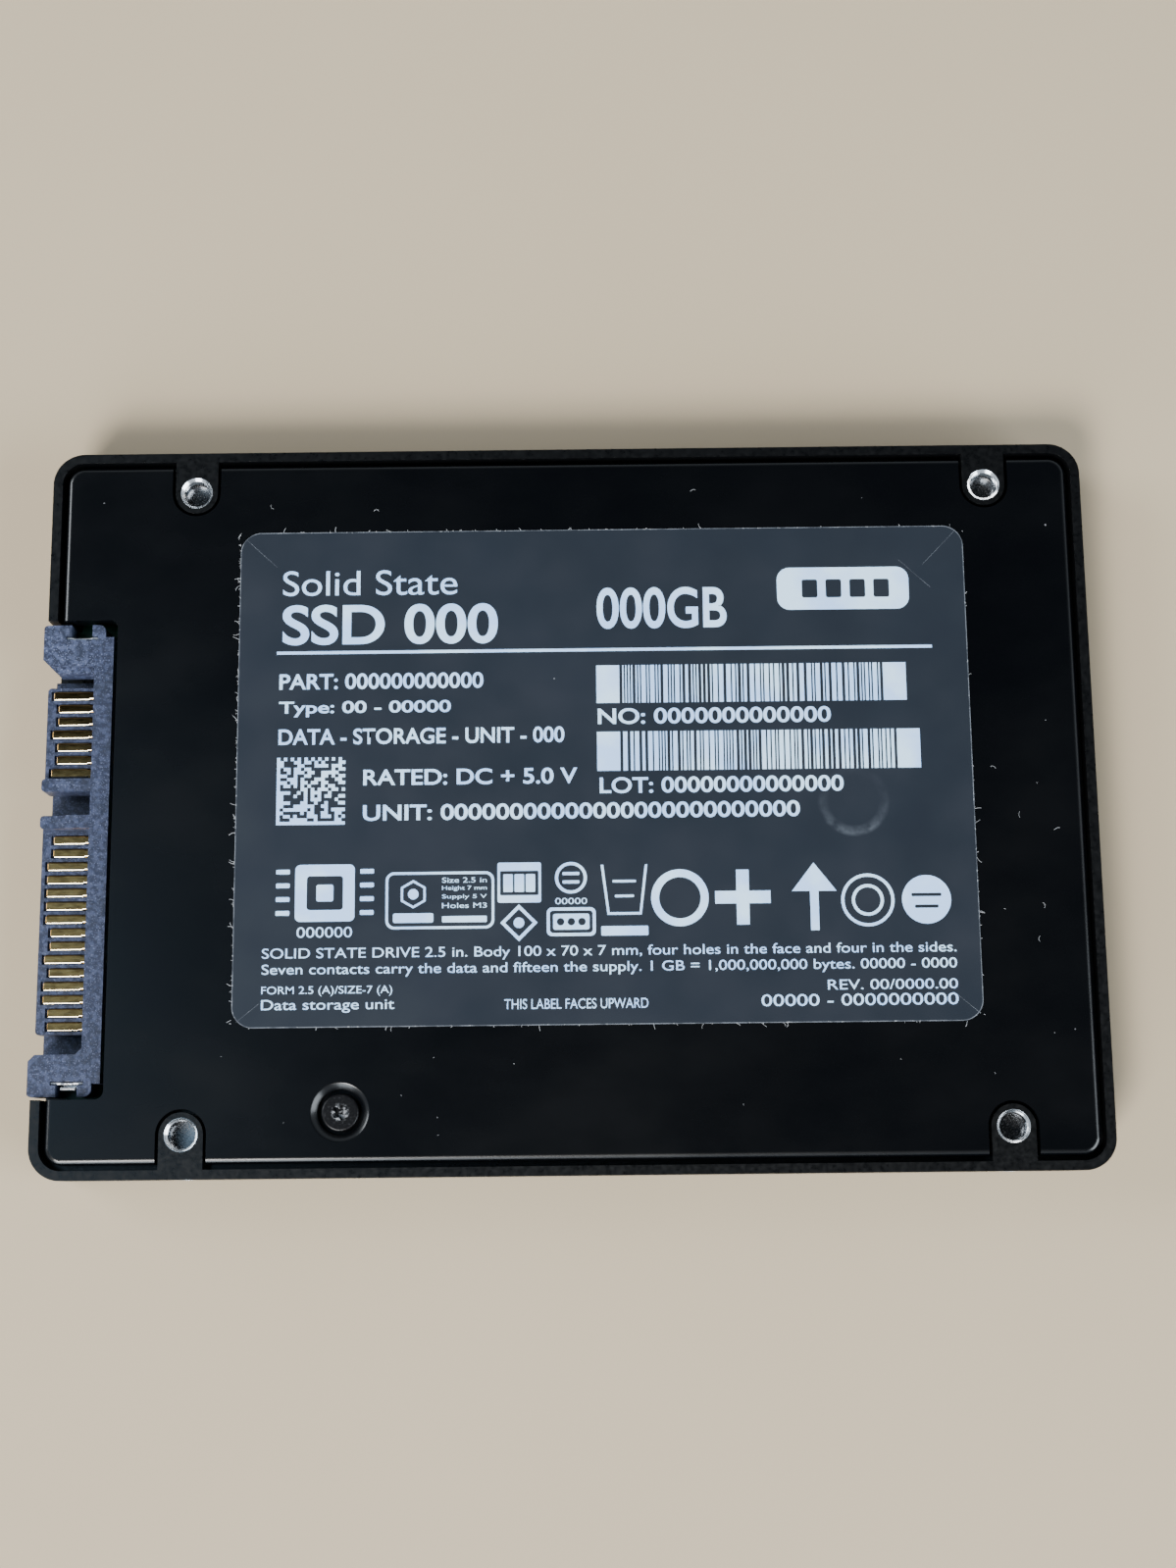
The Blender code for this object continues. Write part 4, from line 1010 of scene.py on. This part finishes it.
def hold_down_lip(middle, high):
    """The springy lip of the lower hold-down: a hook that turns up in the housing's window."""
    half = LIP_SHEET / 2
    outline = [
        (0, -LIP_SHEET), *arc(LIP_REACH - LIP_SHEET, 0, LIP_SHEET, -90, 0, 6),
        *arc(LIP_REACH - half, LIP_RISE - half, half, 0, 180, 8), (LIP_REACH - LIP_SHEET, 0), (0, 0),
    ]
    lip = plate(outline, -LIP_WIDTH / 2, LIP_WIDTH / 2, half / 2)
    stand = Matrix(((0, 0, 1, 0), (-1, 0, 0, 0), (0, 1, 0, 0), (0, 0, 0, 1)))
    return moved(lip, Matrix.Translation((middle.x, middle.y, high.z - LIP_DROP)) @ stand)


# Label and print


def at(x, y):
    """A place on the label, in mm from the case's front end and from the centre line."""
    return X_FRONT + x * MM, y * MM


def scaled(outline):
    return [at(x, y) for x, y in outline]


def inked(name, outlines, paint):
    """Printed shapes; an outline inside another leaves a hole. Outlines are in label mm."""
    curve = flat_curve([scaled(outline) for outline in outlines])
    curve.location.z = label_high.z + INK_LIFT
    piece(baked(curve), name, paint, solid=False)


def bars(name, rectangles, paint):
    """Printed rectangles, each (x0, x1, y0, y1) in label mm."""
    bm = bmesh.new()
    height = label_high.z + INK_LIFT
    for x0, x1, y0, y1 in rectangles:
        corners = [at(x0, y0), at(x1, y0), at(x1, y1), at(x0, y1)]
        bm.faces.new([bm.verts.new((x, y, height)) for x, y in corners])
    piece(mesh_object(bm, name), name, paint, solid=False)


def words(text, x0, x1, y0, y1, weight=0.0):
    """Lettering stretched to fill a box in label mm. Returns a mesh object."""
    data = bpy.data.curves.new("words", "FONT")
    data.body = text
    data.offset = weight
    obj = baked(bpy.data.objects.new("words", data))
    low = [min(v.co[i] for v in obj.data.vertices) for i in range(2)]
    high = [max(v.co[i] for v in obj.data.vertices) for i in range(2)]
    (left, bottom), (right, top) = at(x0, y0), at(x1, y1)
    scale_x, scale_y = (right - left) / (high[0] - low[0]), (top - bottom) / (high[1] - low[1])
    scale = Matrix.Diagonal((scale_x, scale_y, 1, 1))
    shift = Matrix.Translation((left, bottom, label_high.z + INK_LIFT))
    return moved(obj, shift @ scale @ Matrix.Translation((-low[0], -low[1], 0)))


def barcode(x0, x1, y0, y1, chance):
    """Pale bars of several widths between two solid end blocks."""
    end, unit = 2.2, 0.14
    made = [(x0, x0 + end, y0, y1), (x1 - end, x1, y0, y1)]
    x = x0 + end + unit * chance.choice((1, 2))
    while x < x1 - end - unit:
        width = min(unit * chance.choice((1, 1, 2, 3)), x1 - end - x)
        made.append((x, x + width, y0, y1))
        x += width + unit * chance.choice((1, 1, 2))
    return made


def matrix_code(x0, y0, size, cells, chance):
    """A square of random cells with solid left and lower edges."""
    step = size / cells
    made = []
    for i in range(cells):
        for j in range(cells):
            edge = i == 0 or j == 0
            clock = (i == cells - 1 and j % 2 == 0) or (j == cells - 1 and i % 2 == 0)
            inner = 0 < i < cells - 1 and 0 < j < cells - 1 and chance.random() < 0.5
            if edge or clock or inner:
                made.append((x0 + i * step, x0 + (i + 1) * step, y0 + j * step, y0 + (j + 1) * step))
    return made


def circle(x, y, radius):
    return arc(x, y, radius, 0, 360, 48)[:-1]


def rounded(x0, x1, y0, y1, radius):
    return rounded_rectangle(x0, x1, y0, y1, radius, 6)


def ring(x, y, outer, inner):
    return [circle(x, y, outer), circle(x, y, inner)]


def regular(x, y, radius, sides, turn=90):
    """A regular polygon with a corner at the turn angle."""
    return arc(x, y, radius, turn, turn + 360, sides)[:-1]


def print_label(paint):
    chance = random.Random(7)
    headings = [
        words("Solid State", 22.6, 39.4, 20.3, 22.8),
        words("SSD 000", 22.6, 43.3, 15.4, 19.4, 0.02),
        words("000GB", 52.8, 65.3, 16.7, 20.8, 0.018),
    ]
    piece(joined(headings), "print_headings", paint, solid=False)
    lines = (
        ("PART: 000000000000", 22.4, 41.9, 11.8, CAPITAL),
        ("Type: 00 - 00000", 22.4, 38.8, 9.1, CAPITAL),
        ("DATA - STORAGE - UNIT - 000", 22.4, 49.6, 6.4, CAPITAL),
        ("RATED: DC + 5.0 V", 30.5, 50.8, 2.4, CAPITAL),
        ("UNIT: 00000000000000000000000000", 30.5, 71.8, -1.0, CAPITAL),
        ("NO: 0000000000000", 52.8, 75.0, 8.1, CAPITAL),
        ("LOT: 00000000000000", 52.9, 76.0, 1.4, CAPITAL),
        ("SOLID STATE DRIVE 2.5 in. Body 100 x 70 x 7 mm, four holes in the face and four in the sides.",
         21.2, 86.0, -14.4, 1.25),
        ("Seven contacts carry the data and fifteen the supply. 1 GB = 1,000,000,000 bytes. 00000 - 0000",
         21.2, 86.0, -15.9, 1.25),
        ("FORM 2.5 (A)/SIZE-7 (A)", 21.2, 33.4, -17.8, 0.95),
        ("Data storage unit", 21.2, 33.6, -19.2, 1.25),
        ("THIS LABEL FACES UPWARD", 43.8, 57.2, -19.2, 0.95),
        ("REV. 00/0000.00", 73.9, 86.0, -17.7, 0.95),
        ("00000 - 0000000000", 67.7, 86.0, -19.1, 1.1),
        ("000000", 24.4, 29.6, -12.3, 1.0),
        ("00000", 48.6, 51.6, -9.6, 0.6),
        ("Size 2.5 in", 38.0, 42.2, -7.5, 0.5),
        ("Height 7 mm", 38.0, 42.2, -8.3, 0.5),
        ("Supply 5 V", 38.0, 42.2, -9.1, 0.5),
        ("Holes M3", 38.0, 42.2, -9.9, 0.5),
    )
    small = [
        words(text, x0, x1, y - tall / 2, y + tall / 2, 0.02 if tall == CAPITAL else 0.004)
        for text, x0, x1, y, tall in lines
    ]
    piece(joined(small), "print_lines", paint, solid=False)
    rule = [(22.1, 84.9, 14.5, 14.8)]
    codes = barcode(52.7, 82.3, 9.4, 13.1, chance) + barcode(52.7, 83.4, 2.8, 6.6, chance)
    bars("print_codes", rule + codes + matrix_code(22.3, -2.1, 6.5, 20, chance), paint)
    print_badge(paint)
    print_pictograms(paint)


def print_badge(paint):
    """A plain lozenge with a row of memory cells in it."""
    cells = [rounded(x, x + 1.5, 19.6, 21.4, 0.2) for x in (72.6, 74.9, 77.2, 79.5)]
    inked("print_badge", [rounded(70.2, 82.9, 18.4, 22.6, 1.2), *cells], paint)


def print_pictograms(paint):
    """A row of plain shapes: chip, card, grid, diamond, dots, tray, plus, arrow, ring and disc."""
    chip = [rounded(24.2, 29.8, -11.3, -5.9, 0.5), rounded(25.3, 28.7, -10.2, -7.0, 0.3)]
    chip += [rounded(26.2, 27.8, -9.4, -7.8, 0.2)]
    pins = [
        rounded(x, x + 1.3, y, y + 0.45, 0.1)
        for x in (22.4, 30.3)
        for y in (-10.7, -9.4, -8.1, -6.8)
    ]
    card = [rounded(32.7, 42.9, -12.1, -6.7, 0.8), rounded(32.95, 42.65, -11.85, -6.95, 0.6)]
    card += [rounded(33.4, 37.2, -11.5, -10.6, 0.2), rounded(38.0, 42.2, -11.5, -10.9, 0.1)]
    card += [regular(35.3, -8.8, 1.35, 6), regular(35.3, -8.8, 1.1, 6), circle(35.3, -8.8, 0.5)]
    grid = [rounded(43.2, 47.3, -9.7, -5.9, 0.2), rounded(43.45, 47.05, -9.0, -6.7, 0.1)]
    grid += [rounded(x, x + 0.9, -8.7, -7.0, 0.1) for x in (43.75, 44.8, 45.85)]
    diamond = [regular(45.2, -11.6, 1.75, 4), regular(45.2, -11.6, 1.3, 4), circle(45.2, -11.6, 0.5)]
    eye = ring(50.1, -7.4, 1.5, 1.2) + [rounded(49.3, 50.9, y, y + 0.3, 0.1) for y in (-7.15, -7.95)]
    dots = [rounded(47.8, 52.4, -12.9, -10.2, 0.5), rounded(48.1, 52.1, -12.6, -10.5, 0.3)]
    dots += [rounded(48.4, 51.8, -12.3, -10.8, 0.2)]
    dots += [circle(x, -11.55, 0.35) for x in (49.1, 50.1, 51.1)]
    tray = [
        [(52.9, -6.2), (53.15, -6.2), (53.7, -10.7), (56.5, -10.7), (57.05, -6.2), (57.3, -6.2),
         (56.7, -10.95), (53.5, -10.95)],
        rounded(54.0, 56.2, -7.9, -7.65, 0.1), rounded(54.2, 56.0, -9.3, -9.05, 0.1),
        rounded(52.9, 57.3, -12.9, -12.0, 0.1),
    ]
    halo = ring(60.3, -9.4, 2.7, 1.95)
    plus = [[
        (65.6, -6.8), (66.8, -6.8), (66.8, -8.8), (68.8, -8.8), (68.8, -10.0), (66.8, -10.0),
        (66.8, -12.0), (65.6, -12.0), (65.6, -10.0), (63.6, -10.0), (63.6, -8.8), (65.6, -8.8),
    ]]
    arrow = [[
        (72.9, -6.2), (75.0, -8.9), (73.3, -8.9), (73.3, -12.6), (72.5, -12.6), (72.5, -8.9),
        (70.8, -8.9),
    ]]
    target = [*ring(77.9, -9.8, 2.5, 2.2), *ring(77.9, -9.8, 1.5, 1.2)]
    disc = [circle(83.4, -9.8, 2.3)]
    disc += [rounded(82.0, 84.8, -9.5, -9.2, 0.1), rounded(82.3, 84.5, -10.6, -10.3, 0.1)]
    shapes = chip + pins + card + grid + diamond + eye + dots
    shapes += tray + halo + plus + arrow + target + disc
    inked("print_pictograms", shapes, paint)


def tube(strands, radius, name, material):
    """Thin round strands along lists of points."""
    data = bpy.data.curves.new(name, "CURVE")
    data.dimensions = "3D"
    data.bevel_depth = radius
    data.bevel_resolution = 2
    data.use_fill_caps = True
    for strand in strands:
        spline = data.splines.new("POLY")
        spline.points.add(len(strand) - 1)
        for point, place in zip(spline.points, strand):
            point.co = (*place, 1)
    piece(baked(bpy.data.objects.new(name, data)), name, material)


def hair(x, y, z, way, curl, step):
    """Points along a fibre that starts at a place and curls as it goes."""
    points = [(x, y, z)]
    for i in range(HAIR_STEPS):
        turn = way + curl * i / HAIR_STEPS
        x, y = x + step * math.cos(turn), y + step * math.sin(turn)
        points.append((x, y, z))
    return points


def make_label(film, core, fibres):
    """The film on its pale core, the tamper slits and the loose fibres."""
    low, high, inset = label_low, label_high, EDGE_WIDTH
    outline = rounded_rectangle(low.x, high.x, low.y, high.y, LABEL_CORNER_RADIUS)
    piece(plate(outline, low.z, high.z - SLIT_DEPTH), "label_backing", core, "label_film", ["label"])
    outline = rounded_rectangle(
        low.x + inset, high.x - inset, low.y + inset, high.y - inset, LABEL_CORNER_RADIUS - inset,
    )
    piece(plate(outline, low.z + SLIT_DEPTH, high.z), "label_sheet", film, "label_film")
    cuts = (
        ((19.0, 26.0), (22.0, 23.2)), ((87.5, 26.1), (84.3, 22.8)),
        ((82.0, 23.3), (85.0, 20.5)), ((88.0, -20.5), (86.0, -18.8)), ((18.9, -20.6), (21.0, -18.9)),
    )
    strands = []
    for first, last in cuts:
        (x0, y0), (x1, y1) = at(*first), at(*last)
        strands.append([
            (x0 + (x1 - x0) * t, y0 + (y1 - y0) * t, high.z - SLIT_DEPTH)
            for t in (0, 0.25, 0.5, 0.75, 1)
        ])
    tube(strands, 1.6 * SLIT_DEPTH, "label_slits", core)
    make_fibres(fibres)
    make_dust(fibres)


def make_dust(material):
    """A few bits of lint that lie on the cover beside the label."""
    chance = random.Random(5)
    strands = []
    while len(strands) < DUST:
        x, y = chance.uniform(cover_low.x, cover_high.x), chance.uniform(cover_low.y, cover_high.y)
        here, gap = Vector((x, y, 0)), DUST_MARGIN
        clear = x > label_high.x + gap or y > label_high.y + gap or y < label_low.y - gap
        inside = cover_low.x + gap < x < cover_high.x - gap and abs(y) < cover_high.y - gap
        spots = [matrix.to_translation() for matrix in screw_matrices()]
        free = all((here - spot).length > SCREW_MARGIN for spot in spots)
        free = free and all((here - spot).length > HOLE_MARGIN for spot in hole_places())
        if not (clear and inside and free):
            continue
        way, curl = chance.uniform(0, 6.28), chance.uniform(-2.5, 2.5)
        reach = chance.choice((0.05, 0.06, 0.07, 0.3)) * MM
        strands.append(hair(x, y, COVER_TOP + 0.01 * MM, way, curl, reach / 2))
    tube(strands, DUST_RADIUS, "cover_dust", material)


def make_fibres(material):
    """Short hairs and lint that stick out of the label's cut edges, most of them at its front end."""
    chance = random.Random(11)
    strands = []
    for _ in range(LINT):
        side = chance.choice(("front", "front", "front", "back", "upper", "lower"))
        x, y = chance.uniform(label_low.x, label_high.x), chance.uniform(label_low.y, label_high.y)
        if side in ("front", "back"):
            x = label_low.x if side == "front" else label_high.x
            way = math.pi if side == "front" else 0
        else:
            y = label_high.y if side == "upper" else label_low.y
            way = math.pi / 2 if side == "upper" else -math.pi / 2
        way += chance.uniform(-1.3, 1.3)
        reach = chance.choice((0.12, 0.15, 0.2, 0.3, 0.6)) * chance.uniform(0.7, 1.2) * MM
        curl = chance.uniform(-1.5, 1.5)
        strands.append(hair(x, y, label_high.z - 0.03 * MM, way, curl, reach / 4))
    tube(strands, FIBRE_RADIUS, "label_fibres", material)


def repaint(names, material):
    """Gives carried-over CAD nodes a material."""
    for name in names:
        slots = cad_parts[name].data.materials
        slots.clear()
        slots.append(material)


def paint_inside():
    resin = moulded("chip_resin", (0.018, 0.018, 0.02), 0.12, 0.6, 0.55)
    nodes = sorted(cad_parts)
    repaint([n for n in nodes if n.endswith("_chip") or n.startswith("flash_chip")], resin)
    repaint(["circuit_board"], moulded("solder_mask", (0.008, 0.11, 0.05), 0.6, 0.4, 0.35))
    repaint([n for n in nodes if n.startswith("inductor")], moulded("ferrite", (0.07, 0.07, 0.075)))
    repaint([n for n in nodes if n.startswith("capacitor")], moulded("tantalum", (0.42, 0.23, 0.05)))
    repaint([n for n in nodes if "pad" in n], moulded("gap_filler", (0.42, 0.48, 0.54), 0.3, 0.5, 0.8))
    repaint(["crystal"], bare_metal("crystal_can", (0.6, 0.6, 0.6), 0.3, (1, 0.1, 1)))


# Stage


def make_floor():
    floor = block(-STAGE_HALF, STAGE_HALF, -STAGE_HALF, STAGE_HALF, -STAGE_THICKNESS, 0)
    floor.name = "floor"
    pale = Finish("pale_floor", (0.44, 0.358, 0.25), 0.85, specular=0.1)
    pale.mottle((40, 3), (0.3, 0.7), 0.25, (0.4, 0.32, 0.22))
    floor.data.materials.append(pale.material)


def make_light(name, place, size, power, colour):
    """A square soft light that faces the drive."""
    data = bpy.data.lights.new(name, "AREA")
    data.size = size
    data.energy = power
    data.color = colour
    light = linked(bpy.data.objects.new(name, data))
    light.location = place
    light.rotation_euler = (-Vector(place)).to_track_quat("-Z", "Y").to_euler()


def make_world():
    """A room that is pale at the sides and dark overhead."""
    world = bpy.data.worlds.new("room")
    world.use_nodes = True
    nodes, links = world.node_tree.nodes, world.node_tree.links
    background = nodes["Background"]
    background.inputs["Color"].default_value = (0.8, 0.9, 1, 1)
    direction = nodes.new("ShaderNodeTexCoord")
    split = nodes.new("ShaderNodeSeparateXYZ")
    fade = nodes.new("ShaderNodeMapRange")
    for name, number in zip(("From Min", "From Max", "To Min", "To Max"), (0.15, 0.88, 0.85, 0.02)):
        fade.inputs[name].default_value = number
    links.new(direction.outputs["Generated"], split.inputs["Vector"])
    links.new(split.outputs["Z"], fade.inputs["Value"])
    links.new(fade.outputs["Result"], background.inputs["Strength"])
    bpy.context.scene.world = world


def make_lights():
    make_world()
    make_light("key", (-0.4, -0.8, 0.85), 0.4, 26, (1, 0.98, 0.95))
    make_light("near_window", (-0.35, -1.0, 0.4), 0.6, 9, (0.85, 0.93, 1))
    make_light("right_window", (0.95, -0.45, 0.4), 0.9, 24, (0.85, 0.93, 1))
    make_light("left_fill", (-0.9, 0.3, 0.5), 0.5, 9, (0.9, 0.95, 1))
    make_light("ceiling_glow", (-0.45, 0.0, 0.95), 0.4, 0.62, (0.5, 0.75, 1))


def make_camera():
    data = bpy.data.cameras.new("camera")
    data.lens = LENS
    data.sensor_width = SENSOR_WIDTH
    data.clip_start = 0.01
    camera = linked(bpy.data.objects.new("camera", data))
    back = Vector((
        -math.sin(AZIMUTH) * math.cos(ELEVATION),
        -math.cos(AZIMUTH) * math.cos(ELEVATION),
        math.sin(ELEVATION),
    ))
    camera.location = Vector((*AIM, label_high.z)) + DISTANCE * back
    turn = (-back).to_track_quat("-Z", "Y").to_matrix() @ Matrix.Rotation(ROLL, 3, "Z")
    camera.rotation_euler = turn.to_euler()
    bpy.context.scene.camera = camera


def main():
    make_camera()
    aluminium = bare_metal("bare_aluminium", (0.9, 0.92, 0.94), 0.16)
    # The hole bottoms are darker metal than the threads: painted shade.
    make_case(powder_coat(), aluminium, bare_metal("hole_shade_metal", (0.3, 0.3, 0.31), 0.24))
    make_cover(satin_coat())
    make_screws(black_steel())
    make_housing(nylon())
    make_contacts(gold())
    make_hold_downs(bare_metal("tinned_sheet", (0.93, 0.95, 0.98), 0.45, (0.2, 1, 1)))
    make_label(label_film(), label_core(), fibre())
    print_label(ink())
    paint_inside()
    make_floor()
    make_lights()


main()
